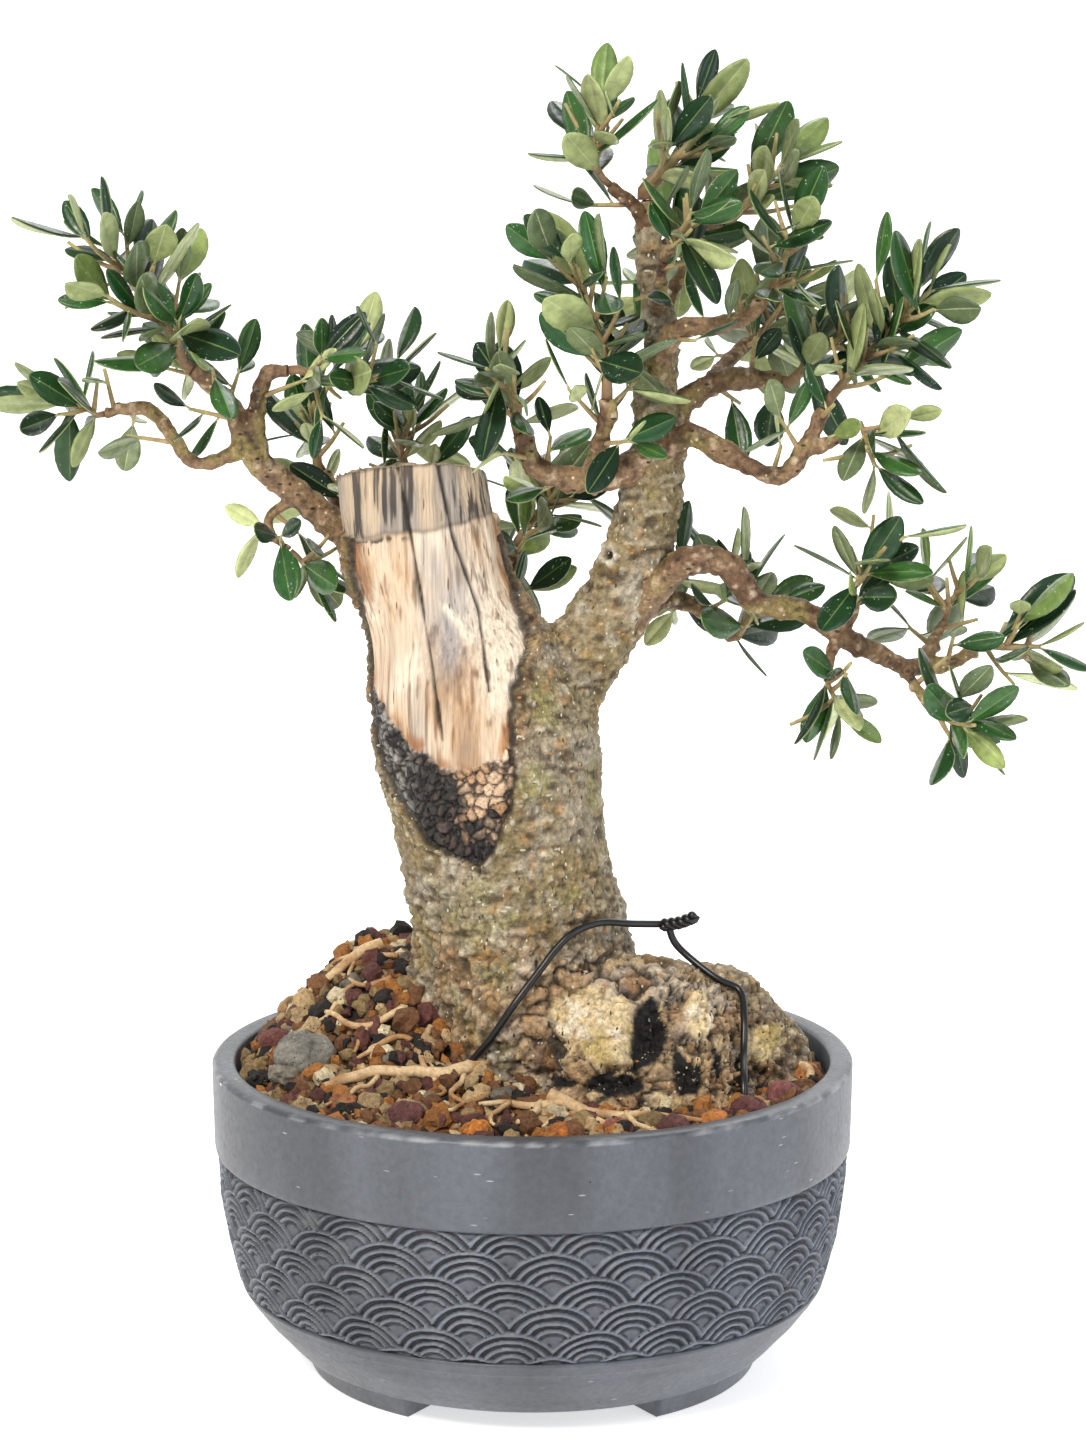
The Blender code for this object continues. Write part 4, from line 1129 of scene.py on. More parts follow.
@dataclass
class Trunk:
    """The trunk: live bark, the dead wood of the sawn stump, and the burl over its swollen roots."""

    depth: float = 0.92
    swellings: tuple = (
        ((34, -20, 108), (42, 32, 38)), ((60, -8, 104), (30, 28, 36)), ((26, -44, 102), (24, 16, 22)),
        ((54, -40, 100), (22, 17, 22)), ((82, -2, 100), (14, 20, 22)), ((-33, -2, 126), (11, 16, 28)),
        ((-2, -22, 118), (25, 20, 34)), ((10, 26, 106), (38, 24, 24)), ((9, 2, 226), (13, 15, 26)),
    )
    head: tuple = ((-37.6, 0, 286, 27.2), (-42.5, 0, 320, 26.0))
    top: float = 315.0
    fall: float = 0.27
    tilt: float = 0.06
    voxel: float = 1.08
    left_edge: tuple = ((179.0, -17.4), (184.9, -34.0), (198.4, -43.9), (211.9, -52.1), (238.8, -56.8),
                        (252.1, -56.7), (268.8, -59.2), (286.9, -61.4), (310.0, -63.0))
    right_edge: tuple = ((179.0, -17.4), (184.9, -12.4), (201.8, -6.4), (215.3, -6.7), (235.4, -6.3),
                         (252.1, -0.7), (272.1, -5.6), (288.6, -10.5), (310.0, -12.0))
    band_edge: tuple = ((-61.4, 286.9), (-43.3, 290.2), (-26.9, 291.9), (-11.5, 295.2))
    peel_edge: tuple = ((-56.2, 237.0), (-43.8, 220.3), (-30.5, 211.9), (-20.6, 213.6), (-10.6, 215.3),
                        (-6.7, 222.0))
    cracks: tuple = (
        ((-44.8, 313.0), (-40.0, 288.6), (-35.3, 255.5), (-30.5, 222.0)),
        ((-30.1, 313.0), (-25.3, 288.6), (-17.1, 265.4), (-13.9, 238.8)),
    )
    hollows: tuple = (
        ((39, -50, 128), (6.5, 18, 13), 8.0), ((29, -60, 112.5), (13, 16, 4.4), 6.0),
        ((51, -56, 115), (6, 14, 9), 6.0), ((32, -50, 144.5), (1.8, 12, 1.8), 3.5),
        ((46, -50, 139), (3, 14, 7), 4.0), ((8, -60, 112), (6, 14, 2.6), 3.0),
        ((62, -54, 121), (3, 14, 8), 3.5), ((71, -46, 113), (3.5, 14, 7), 3.5),
    )
    crotch: tuple = ((-4, 250), (1, 254), (6, 254), (13, 251))
    knot: tuple = (25.6, 280.3)
    lobes: tuple = (
        ((18, -56, 132), (17, 24, 12), 4.6), ((32, -50, 144.5), (5.5, 16, 5.5), 3.0),
        ((56, -50, 133), (6, 18, 10), 3.4), ((26, -58, 123), (12, 20, 5), 1.6),
        ((80, -30, 118), (10, 20, 6), 2.0),
    )
    dead_low: float = 176.0
    dead_high: float = 325.0
    dead_back: float = 3.0
    band_low: float = 287.0
    split_margin: float = 3.0
    sunk: float = 1.9
    outside: float = -9.0
    cut_centre: tuple = (-38.0, -24.0)
    step: float = 4.0
    sides: int = 40
    leader_step: float = 3.0
    leader_sides: int = 20
    relax: int = 4

    def shell(self, limbs: tuple[Limb, ...]) -> Heap:
        """The trunk, its swellings and its leader, not yet melted.

        Args:
            limbs: The limbs, of which the leader is a part of the trunk's own skin.

        Returns:
            The overlapping shapes.
        """
        heap = Heap()
        grey = np.zeros(3)
        line = smooth_path((*TRUNK_AXIS[:-2], *self.head), self.step)
        points, faces = tube_mesh(line[:, :3], line[:, 3], self.sides)
        points[:, 1] *= self.depth
        points[:, 2] -= np.maximum(0.0, self.over_cut(points))
        heap.add(points, faces, grey)
        for centre, size in self.swellings:
            heap.add(*ball(centre, size), grey)
        for limb in limbs:
            path, radii = limb_line(limb, self.leader_step)
            if limb.name in LEADERS:
                heap.add(*tube_mesh(path, radii, self.leader_sides), grey)
        return heap

    def build(self, limbs: tuple[Limb, ...]) -> list[bpy.types.Object]:
        """Melt, carve and colour the trunk, and part its bark from its dead wood.

        Args:
            limbs: The limbs.

        Returns:
            The bark and the dead wood.
        """
        points, faces, _ = melted(self.shell(limbs), self.voxel, self.relax)
        points, split, normals = refined(points, faces, self.dead_depth(points) > -self.split_margin)
        relief, colours, zone = self.surface(points)
        raised = points + normals * relief[:, None]
        kinds = np.array([max(zone[corner] for corner in face) for face in split], np.int32)
        pieces = []
        for name, chosen, finishes in (
            ("trunk_bark", kinds == Zone.BARK, (LIVE_BARK,)),
            ("trunk_deadwood", kinds > Zone.BARK, (BARE_WOOD, CHAR)),
        ):
            own = [face for face, wanted in zip(split, chosen) if wanted]
            used = np.unique(np.concatenate([np.array(face) for face in own]))
            number = np.full(len(points), -1)
            number[used] = np.arange(len(used))
            obj = mesh_piece(name, raised[used], [number[list(face)].tolist() for face in own])
            give_tint(obj, colours[used])
            dress(obj, "olive_bark", *finishes)
            slots = np.maximum(kinds[chosen] - Zone.BARE, 0)
            obj.data.polygons.foreach_set("material_index", slots.astype(np.int32))
            pieces.append(obj)
        return pieces

    def over_cut(self, points: np.ndarray) -> np.ndarray:
        """How far each point lies above the plane of the saw cut, which falls towards the back."""
        across, back = points[:, 0] - self.cut_centre[0], points[:, 1] - self.cut_centre[1]
        return points[:, 2] - self.top + self.fall * back - self.tilt * across

    def dead_depth(self, points: np.ndarray) -> np.ndarray:
        """Measure how deep in the dead wood each point lies.

        Args:
            points: Places.

        Returns:
            The distance in from its border, negative outside it.
        """
        x, y, z = points.T
        left = np.interp(z, *np.array(self.left_edge).T)
        right = np.interp(z, *np.array(self.right_edge).T)
        dead = np.minimum(np.minimum(x - left, right - x), self.dead_back - y)
        on_stump = (x < 2.0 + 0.35 * (z - 252.0)) & (z > 270.0) & (z < self.dead_high)
        dead = np.where(on_stump, np.maximum(dead, above_line(points, self.band_edge)), dead)
        return np.where(z < self.dead_low, self.outside, dead)

    def surface(self, points: np.ndarray) -> tuple[np.ndarray, np.ndarray, np.ndarray]:
        """How far each point is raised, its colour and its zone.

        Args:
            points: Places on the smooth skin.

        Returns:
            Relief in millimetres, colours and zones.
        """
        x, y, z = points.T
        ragged = 1.5 * noise(points, 7.0, 41, 3)
        dead = self.dead_depth(points) + ragged
        band = above_line(points, self.band_edge) + 0.5 * ragged
        peel = above_line(points, self.peel_edge) + 1.5 * ragged
        relief, colours = self.bark(points)
        bare_relief, bare = self.bare_wood(points, band)
        char_relief, char = self.char(points)
        charred = ramp(-peel, -1.0, 1.0) * (band < 0)
        inside = ramp(dead, -0.4, 0.6)
        wood_relief = bare_relief + (char_relief - bare_relief) * charred
        wood_colour = mix(bare, char, charred)
        below_band = z < self.band_low
        _, _, crumb = cells(points, 2.6, 83)
        callus = hump(dead + 2.4, 2.0) * below_band
        relief = relief + callus * (1.2 + 0.8 * (crumb - 0.5))
        crust = mix(tone("#3b2a1c"), tone("#8d6a44"), crumb)
        colours = mix(colours, crust, 0.8 * callus * ramp(z, 205.0, 240.0))
        groove = hump(dead, 0.8) * below_band
        relief = relief * (1 - inside) + (wood_relief - self.sunk) * inside - 1.0 * groove
        colours = mix(colours, wood_colour, inside)
        # Painted shade: the sunk groove round the dead wood painted near black.
        colours = mix(colours, tone("#120e0b"), 0.9 * groove)
        stain = ramp(noise(points * (1.0, 1.0, 0.5), 5.0, 45, 3), -0.4, 0.5)
        stain = stain * (inside > 0.5) * (charred < 0.5)
        glow = hump(dead - 1.6, 1.6) * (peel > -5) * (band < -2) * (x < -30)
        colours = mix(colours, tone("#855426"), 0.9 * glow * stain)
        glow = np.exp(-((peel - 1.6) ** 2) / 7.0) * (x < -20)
        colours = mix(colours, tone("#8f5a2a"), 0.85 * glow * stain)
        # Hollows in the burl: sunk, with painted shade, near black, in their depths.
        for centre, width, depth in self.hollows:
            away = (points - np.array(centre)) / np.array(width)
            away = away + 0.16 * noise(points, 4.0, 97, 2)[:, None]
            pit = hump(np.linalg.norm(away, axis=1), 1.0)
            relief -= depth * pit
            colours = mix(colours, tone("#0a0705"), ramp(pit, 0.36, 0.46))
        front = (y < 4.0) & (inside < 0.5)
        ledge = hump(near_line(points, self.crotch), 2.6) * front
        relief += ledge * (1.4 + 1.4 * (crumb - 0.5))
        crust = mix(tone("#33261a"), tone("#a08a62"), crumb)
        colours = mix(colours, crust, 0.85 * ramp(ledge, 0.3, 0.7))
        ring = np.hypot(x - self.knot[0], z - self.knot[1]) + 20.0 * ~front
        relief += 0.9 * hump(ring - 2.6, 0.9) - 1.2 * hump(ring, 1.4)
        colours = mix(colours, tone("#d3cdbd"), 0.8 * hump(ring - 2.5, 0.8))
        # Painted shade: the knot's sunk centre painted near black.
        colours = mix(colours, tone("#17110c"), ramp(-ring, -1.7, -1.1))
        zone = np.where(inside > 0.5, np.where(charred > 0.5, Zone.CHAR, Zone.BARE), Zone.BARK)
        return relief, colours, zone

    def bark(self, points: np.ndarray) -> tuple[np.ndarray, np.ndarray]:
        """Raise and colour the live bark: wrinkles, lenticels, low scales, and plates over the burl.

        Args:
            points: Places on the smooth skin.

        Returns:
            Relief and colours.
        """
        x, y, z = points.T
        low = ramp(-z, -190.0, -135.0)
        wrinkle = noise(points * (0.6, 0.6, 1.6), 3.4, 9, 3)
        coarse = noise(points * (1.0, 1.0, 0.6), 12.0, 11, 2)
        spot, _, owner = cells(points, 4.6, 5)
        wart = ramp(-spot, -1.25, -0.5) * (owner > 0.35)
        warp = sway(points, 5.0, (15, 17, 19), 2)
        _, border, plate = cells((points + 1.5 * warp) * (1.0, 1.0, 0.8), 3.8, 7)
        scale = ramp(border, 0.0, 1.0)
        scaly = 0.35 + 0.65 * low
        scales = 1.4 * (scale - 0.6) + 0.9 * (plate - 0.5)
        relief = 0.8 * wrinkle + 0.7 * coarse + 0.6 * wart + scaly * scales
        broad = noise(points, 24.0, 13, 2)
        colours = mix(tone("#84744f"), tone("#988c76"), ramp(broad, -0.4, 0.5))
        colours = mix(colours, tone("#8b8a4c"), 0.5 * ramp(noise(points, 13.0, 23, 2) - 0.01 * x, 0.1, 0.8))
        colours = clouded(colours, points, "#a09a8d", 0.6, 9.0, 27, (0.15, 0.8))
        colours = clouded(colours, points, "#a97c40", 0.55, 4.5, 29, (0.35, 0.9))
        plates = mix(tone("#a9966c"), tone("#b7b0a2"), plate)
        colours = mix(colours, plates, scaly * 0.5 * ramp(plate, 0.4, 0.9))
        skirt = ramp(-z, -165.0, -145.0) * ramp(-y, -5.0, 15.0)
        colours = mix(colours, tone("#a57742"), 0.5 * skirt * ramp(noise(points, 8.0, 21, 2), -0.4, 0.5))
        # Painted shade in the hollows of the wrinkles, and painted highlight on their ridges.
        colours = mix(colours, tone("#3c2e1a"), 0.85 * ramp(-wrinkle, 0.1, 0.8))
        colours = mix(colours, tone("#c9c0a8"), 0.5 * ramp(wrinkle, 0.35, 1.0))
        colours = mix(colours, tone("#d2cbb8"), 0.6 * wart)
        # Painted shade in the crevices between the scales.
        colours = mix(colours, tone("#3f311c"), 0.75 * scaly * (1 - scale))
        burl = ramp(-y, 12.0, 28.0) * ramp(x, -14.0, 2.0) * ramp(-z, -156.0, -144.0)
        burl_relief, pale = self.burl(points)
        return relief + burl * burl_relief, mix(colours, pale, 0.95 * burl)

    def burl(self, points: np.ndarray) -> tuple[np.ndarray, np.ndarray]:
        """Raise and colour the burl: flaky plates and torn fibres round smooth pale lobes.

        Args:
            points: Places on the smooth skin.

        Returns:
            Relief and colours.
        """
        warp = sway(points, 6.0, (31, 35, 37), 3)
        _, edge, piece = cells((points + 1.6 * warp) * (0.85, 1.0, 1.1), 8.0, 33)
        _, thin, sliver = cells((points + 2.0 * warp) * (1.6, 1.0, 0.55), 4.2, 34)
        torn = ramp(points[:, 0] + 6.0 * warp[:, 0], 40.0, 52.0)
        flake = ramp(edge, 0.0, 1.5) * (1 - torn) + ramp(thin, 0.0, 0.9) * torn
        own = piece * (1 - torn) + sliver * torn
        lump = noise(points, 5.0, 39, 3)
        smooth = np.zeros(len(points))
        lift = np.zeros(len(points))
        for centre, width, rise in self.lobes:
            away = (points - np.array(centre)) / np.array(width)
            near = hump(np.linalg.norm(away, axis=1), 1.0)
            smooth = np.maximum(smooth, ramp(near + 0.06 * warp[:, 0], 0.28, 0.42))
            lift += rise * near
        cut = (1 - flake) * (1 - 0.92 * smooth)
        relief = lift - 2.4 * cut + (2.0 * (own - 0.5) + 0.5 * lump) * (1 - 0.85 * smooth)
        colours = mix(tone("#cdb68e"), tone("#876544"), own)
        colours = clouded(colours, points, "#b3aba0", 0.6, 9.0, 36, (0.1, 0.7))
        colours = mix(colours, tone("#553d28"), 0.8 * ramp(lump - 0.3 * own, 0.3, 0.9))
        lobed = mix(tone("#d3bf95"), tone("#b39f62"), ramp(noise(points, 11.0, 38, 2), -0.1, 0.6))
        lobed = clouded(lobed, points, "#e9dfca", 0.8, 6.0, 40, (0.1, 0.7))
        lobed = clouded(lobed, points, "#6b4e30", 0.7, 3.0, 46, (0.6, 0.9))
        colours = mix(colours, lobed, 0.9 * smooth)
        # Painted shade, near black, in the sunk gaps between the flakes.
        return relief, mix(colours, tone("#1a120c"), np.clip(1.15 * cut, 0, 1) * 0.95)

    def bare_wood(self, points: np.ndarray, band: np.ndarray) -> tuple[np.ndarray, np.ndarray]:
        """Raise and colour the peeled wood, cream below the grey band that weather has bleached.

        Args:
            points: Places on the smooth skin.
            band: How far each lies above the lower edge of the grey band.

        Returns:
            Relief and colours.
        """
        x, y, z = points.T
        grain = points * (1.0, 1.0, 0.06) + 0.6 * noise(points, 18.0, 42)[:, None]
        streak = noise(grain, 1.5, 43, 3)
        broad = noise(points * (1.0, 1.0, 0.2), 7.0, 47, 2)
        patch = noise(points * (1.0, 1.0, 0.5), 11.0, 49, 2)
        relief = 0.35 * streak + 0.4 * broad
        cream = mix(tone("#ccb79f"), tone("#ab8a66"), ramp(patch + 0.4 * streak, -0.1, 0.8))
        cream = mix(cream, tone("#dfd2c0"), 0.7 * ramp(-patch, 0.0, 0.6))
        rust = 0.7 * ramp(x, -15.0, -8.0) * ramp(patch + 0.5 * streak, -0.2, 0.5)
        cream = mix(cream, tone("#a8703c"), rust)
        cream = mix(cream, tone("#6f523a"), 0.7 * ramp(streak, 0.3, 0.8))
        shade = ramp(noise(points * (1.0, 1.0, 0.4), 14.0, 51, 3), 0.2, 0.9)
        cream = mix(cream, tone("#8b8580"), 0.5 * shade)
        blue = np.exp(-(((x + 27.0) / 8.0) ** 2 + ((z - 258.0) / 17.0) ** 2) + 0.6 * broad)
        cream = mix(cream, tone("#85868a"), 0.75 * np.clip(blue, 0, 1))
        knot = near_line(points, ((-28.6, 265.4), (-24.5, 261.0), (-20.5, 255.5))) + 0.8 * broad
        cream = mix(cream, tone("#e6dac6"), 0.65 * hump(knot, 1.5) * (y < 0))
        relief = relief + 0.9 * hump(knot, 2.2) * (y < 0)
        grey = mix(tone("#b5a28a"), tone("#938a80"), ramp(broad, -0.5, 0.5))
        grey = mix(grey, tone("#262120"), 0.88 * ramp(streak + 0.6 * patch, 0.05, 0.5))
        marks = hump(band + 1.8, 1.3) * ramp(-x, 38.0, 44.0) * ramp(noise(points, 3.0, 57, 2), 0.0, 0.3)
        cream = mix(cream, tone("#1a1410"), 0.9 * marks)
        lower = hump(band, 0.8)
        colours = mix(mix(cream, grey, ramp(band, -0.6, 0.6)), tone("#4c3f33"), 0.5 * lower)
        for line in self.cracks:
            away = near_line(points, line) + 0.35 * noise(points, 6.0, 53, 2)
            cut = hump(away, 0.55) * (y < 0)
            relief = relief - 1.3 * cut
            # Painted shade: the sunk cracks painted near black.
            colours = mix(colours, tone("#15100c"), 0.95 * cut)
        sawn = ramp(self.over_cut(points), -1.4, -0.4)
        rings = 0.5 + 0.5 * np.sin(np.hypot(x + 38.0, y) * 3.4 + 2 * noise(points, 12.0, 59, 2))
        top = mix(tone("#a08f72"), tone("#6d5f4b"), rings)
        return relief * (1 - 0.6 * sawn), mix(colours, top, sawn)

    def char(self, points: np.ndarray) -> tuple[np.ndarray, np.ndarray]:
        """Raise and colour the charred wood: black blocks, ash at the upper left, pale blocks low down.

        Args:
            points: Places on the smooth skin.

        Returns:
            Relief and colours.
        """
        x, _, z = points.T
        warp = sway(points, 4.0, (62, 64, 66), 2)
        _, border, owner = cells(points + 1.2 * warp, 3.7, 61)
        block = ramp(border, 0.0, 0.9)
        relief = 1.3 * (block - 0.6) + 1.1 * (owner - 0.5) + 0.25 * noise(points, 1.6, 67, 2)
        sooty = ramp(noise(points, 2.6, 71, 3) + owner - 0.5, -0.2, 0.9)
        colours = mix(tone("#140f0c"), tone("#40332b"), sooty)
        ash = ramp(-x, 36.0, 44.0) * ramp(noise(points, 3.0, 73, 2), -0.4, 0.3)
        colours = mix(colours, tone("#8f8c86"), 0.8 * ash)
        pale = ramp(x - 0.25 * (215.0 - z) + 4.0 * noise(points, 5.0, 75, 2), -29.0, -24.0)
        pale = pale * ramp(owner + 0.02 * (z - 190.0), 0.2, 0.4)
        colours = mix(colours, mix(tone("#d9bd9f"), tone("#a37d59"), owner), 0.92 * pale)
        # Painted shade, near black, in the fissures between the blocks.
        return relief, mix(colours, tone("#0b0806"), 0.95 * (1 - block))


@dataclass
class Boughs:
    """All limbs but the leader in one skin, with nodes, scars and collars where they leave their parents."""

    voxel: float = 0.75
    node_step: float = 11.0
    node_swell: float = 0.10
    collar: float = 0.28
    collar_length: float = 9.0
    step: float = 2.0
    sides: int = 16
    relax: int = 2
    seed: int = 7

    def build(self, limbs: tuple[Limb, ...]) -> bpy.types.Object:
        """Melt and colour the boughs.

        Args:
            limbs: The limbs.

        Returns:
            The piece.
        """
        heap = Heap()
        rng = random.Random(self.seed)
        for limb in limbs:
            if limb.name in LEADERS:
                continue
            path, radii = limb_line(limb, self.step)
            lengths = lengths_along(path)
            nodes = 1 + self.node_swell * np.cos(lengths / self.node_step * math.tau + rng.uniform(0, 6)) ** 8
            flare = 1 + self.collar * hump(lengths, self.collar_length)
            heap.add(*tube_mesh(path, radii * nodes * flare, self.sides), np.zeros(3))
        points, faces, normals = melted(heap, self.voxel, self.relax)
        spot, _, owner = cells(points, 7.0, 103)
        wrinkle = noise(points, 2.6, 107, 3)
        lump = noise(points, 7.0, 115, 2)
        knot = ramp(-spot, -2.2, -0.7) * (owner > 0.6)
        relief = 0.45 * wrinkle + 0.75 * lump + 1.0 * knot
        broad = noise(points, 18.0, 109, 2)
        colours = mix(tone("#5f442d"), tone("#83694c"), ramp(broad + 0.5 * lump, -0.6, 0.7))
        colours = clouded(colours, points, "#8a8146", 0.6, 9.0, 113, (0.1, 0.8))
        # Painted highlight on the ridges of the wrinkles, and painted shade in their hollows and between the
        # lumps.
        colours = mix(colours, tone("#c2ad92"), 0.55 * ramp(wrinkle, 0.3, 1.0))
        colours = mix(colours, tone("#2c1e14"), 0.75 * ramp(-wrinkle - 0.3 * lump, 0.3, 1.0))
        colours = mix(colours, tone("#c9b9a2"), 0.6 * ramp(knot, 0.6, 0.95))
        obj = mesh_piece("boughs_bark", points + normals * relief[:, None], faces)
        give_tint(obj, colours)
        dress(obj, "young_bark", BOUGH_BARK)
        return obj


@dataclass
class Pot:
    """The round pot: a plain band, carved waves and three feet."""

    columns: int = 288
    rim_radius: float = 110.0
    rim_height: float = 107.5
    wall: float = 8.0
    wave_profile: tuple = ((108.2, 76.0), (107.4, 61.5), (104.7, 45.5), (100.9, 31.0))
    foot_top: float = 7.5
    inner_profile: tuple = ((102.0, 80.0), (98.0, 48.0), (93.0, 34.0), (84.0, 22.0), (70.0, 17.5),
                            (0.5, 16.5))
    foot_count: int = 3
    foot_arc: float = 56.0
    wave_columns: int = 1064
    wave_rows: int = 90
    fans: int = 25
    fan_radius: float = 16.6
    fan_squash: float = 1.2
    fan_rise: float = 9.2
    first_base: float = 20.0
    ridge_step: float = 3.1
    relief: float = 1.7
    wave_span: tuple = (76.6, 30.4)
    wave_recess: float = 1.3
    # Rings of the rim's rounded outer edge, where a highlight is painted.
    rim_highlight_rings: tuple = (10, 11)
    drift: float = 1.0

    def outer_profile(self) -> np.ndarray:
        """Draw the outside, from the inner edge of the rim to under the foot.

        Returns:
            Radius and height of each ring.
        """
        inner, outer = self.rim_radius - self.wall, self.rim_radius
        top = self.rim_height
        points = [(inner, top - 1.4), (inner + 0.4, top - 0.5), (inner + 1.3, top), (outer - 1.8, top),
                  (outer - 0.6, top - 0.5), (outer, top - 1.4), (outer - 0.03, top - 2.1)]
        for share in (0.3, 0.65, 1.0):
            points.append((outer - 0.5 * share, top - 3 - (top - 3 - 79) * share))
        points += [(109.3, 77.8), (108.9, 77.1), (108.2, 76.7), (106.6, 76.4)]
        points += [(radius - 1.7, height) for radius, height in self.wave_profile[1:]]
        points += [(100.4, 30.9), (100.9, 30.2), (100.5, 29.4), (99.6, 28.6), (98.6, 26.4), (98.0, 25.9),
                   (97.5, 25.6), (96.0, 23.0), (93.2, 19.4), (90.0, 16.1), (86.5, 12.2), (83.0, 8.6),
                   (81.0, 7.6), (80.2, 7.3), (79.6, 6.6), (77.4, 0.7), (76.6, 0.0), (62.6, 0.0), (61.8, 0.7),
                   (60.0, 7.0), (59.0, 7.5), (0.5, 7.5)]
        return np.array(points)

    def build(self) -> list[bpy.types.Object]:
        """Turn the body, carve the waves and dress both.

        Returns:
            The body and the waves.
        """
        profile = np.vstack([np.array(self.inner_profile)[::-1], self.outer_profile()])
        turn = np.arange(self.columns) * math.tau / self.columns
        points = np.stack(
            [np.outer(profile[:, 0], np.cos(turn)), np.outer(profile[:, 0], np.sin(turn)),
             np.repeat(profile[:, 1:], self.columns, 1)], -1
        ).reshape(-1, 3)
        share = (np.degrees(np.arctan2(points[:, 1], points[:, 0])) + 90.0) * self.foot_count / 360.0
        off = np.abs(share - np.round(share)) * 360.0 / self.foot_count
        in_gap = off < (360.0 / self.foot_count - self.foot_arc) / 2
        points[:, 2] = np.where(in_gap, np.maximum(points[:, 2], self.foot_top), points[:, 2])
        faces = grid_faces(len(profile), self.columns, True)[:, ::-1]
        body = mesh_piece("pot_body", points, faces)
        colours = self.clay(points)
        # Painted highlight: a patchy pale line laid on the rim's rounded outer edge.
        wear_and_highlight = np.isin(np.arange(len(points)) // self.columns, self.rim_highlight_rings)
        patchy = ramp(noise(points, 5.0, 211, 3), -0.3, 0.8)
        give_tint(body, mix(colours, tone("#9fa2a6"), 0.6 * wear_and_highlight * patchy))
        dress(body, "grey_pot", POT_CLAY)
        return [body, self.waves()]

    def clay(self, points: np.ndarray) -> np.ndarray:
        """The clay's colour: grey, with soft vertical streaks, darker and lighter, painted as the highlights
        of a satin sheen.
        """
        # Painted highlight: soft vertical streaks standing in for the sheen's reflections.
        sheen_streaks = ramp(noise(points * (1.0, 1.0, 0.2), 24.0, 223, 3), -0.8, 0.8)
        return mix(tone("#41454c"), tone("#545962"), sheen_streaks)

    def waves(self) -> bpy.types.Object:
        """Carve the belt of overlapping fans of waves.

        Returns:
            The belt.
        """
        rows = np.linspace(*self.wave_span, self.wave_rows)
        turn = np.arange(self.wave_columns) * math.tau / self.wave_columns
        heights = np.repeat(rows, self.wave_columns)
        turns = np.tile(turn, self.wave_rows)
        outline = np.array(self.wave_profile)
        radius = np.interp(-heights, -outline[:, 1], outline[:, 0])
        across = turns * outline[1, 0]
        pitch = math.tau * outline[1, 0] / self.fans
        place = np.stack([radius * np.cos(turns), radius * np.sin(turns), heights], 1)
        drift = self.drift * noise(place, 17.0, 231, 2)
        height = self.fan_relief(across + drift, heights + 0.7 * noise(place, 13.0, 233, 2), pitch)
        ease = ramp(heights, 30.4, 32.0) * ramp(-heights, -76.6, -75.2)
        pits = ramp(noise(place, 1.6, 227, 2), 0.75, 1.1)
        wear_and_highlight = 1 + 0.16 * noise(place, 12.0, 229, 2)
        out = radius - self.wave_recess + self.relief * height * wear_and_highlight * ease - 0.3 * pits
        points = np.stack([out * np.cos(turns), out * np.sin(turns), heights], 1)
        obj = mesh_piece("pot_waves", points, grid_faces(self.wave_rows, self.wave_columns, True)[:, ::-1])
        # Painted shade in the grooves and painted highlight on the ridges: the clay is darkened to about a
        # third in a groove and brightened to nearly twice on a ridge.
        colours = mix(self.clay(points) * 0.34, self.clay(points) * 1.75, height)
        # Painted shade: the sunk casting pits darkened.
        colours = mix(colours, tone("#3c3f44"), 0.5 * pits)
        give_tint(obj, colours)
        dress(obj, "grey_pot", WAVE_CLAY)
        return obj

    def fan_relief(self, across: np.ndarray, heights: np.ndarray, pitch: float) -> np.ndarray:
        """Height of the wave ridges from 0 in a groove to 1 on a ridge.

        Args:
            across: Distance round the pot.
            heights: Height on the pot.
            pitch: Distance from fan to fan.

        Returns:
            The ridge height at each point.
        """
        inward = np.full(len(across), -1.0)
        over = np.zeros(len(across))
        for row in range(-1, 8):
            shift = pitch / 2 * (row % 2)
            centre = np.round((across - shift) / pitch) * pitch + shift
            rise = (heights - self.first_base - row * self.fan_rise) * self.fan_squash
            depth = self.fan_radius - np.hypot(across - centre, rise)
            wins = (inward < 0) & (depth > 0)
            inward = np.where(wins, depth, inward)
            over = np.where(wins, rise, over)
        ridge = ramp(np.cos(math.tau * (inward / self.ridge_step - 0.32)), -0.45, 0.6)
        faded = np.maximum(ramp(inward, self.fan_radius - 5.5, self.fan_radius - 3.0), ramp(-over, -0.5, 2.5))
        return np.where(inward < 0, 0.1, ridge + (0.45 - ridge) * faded)


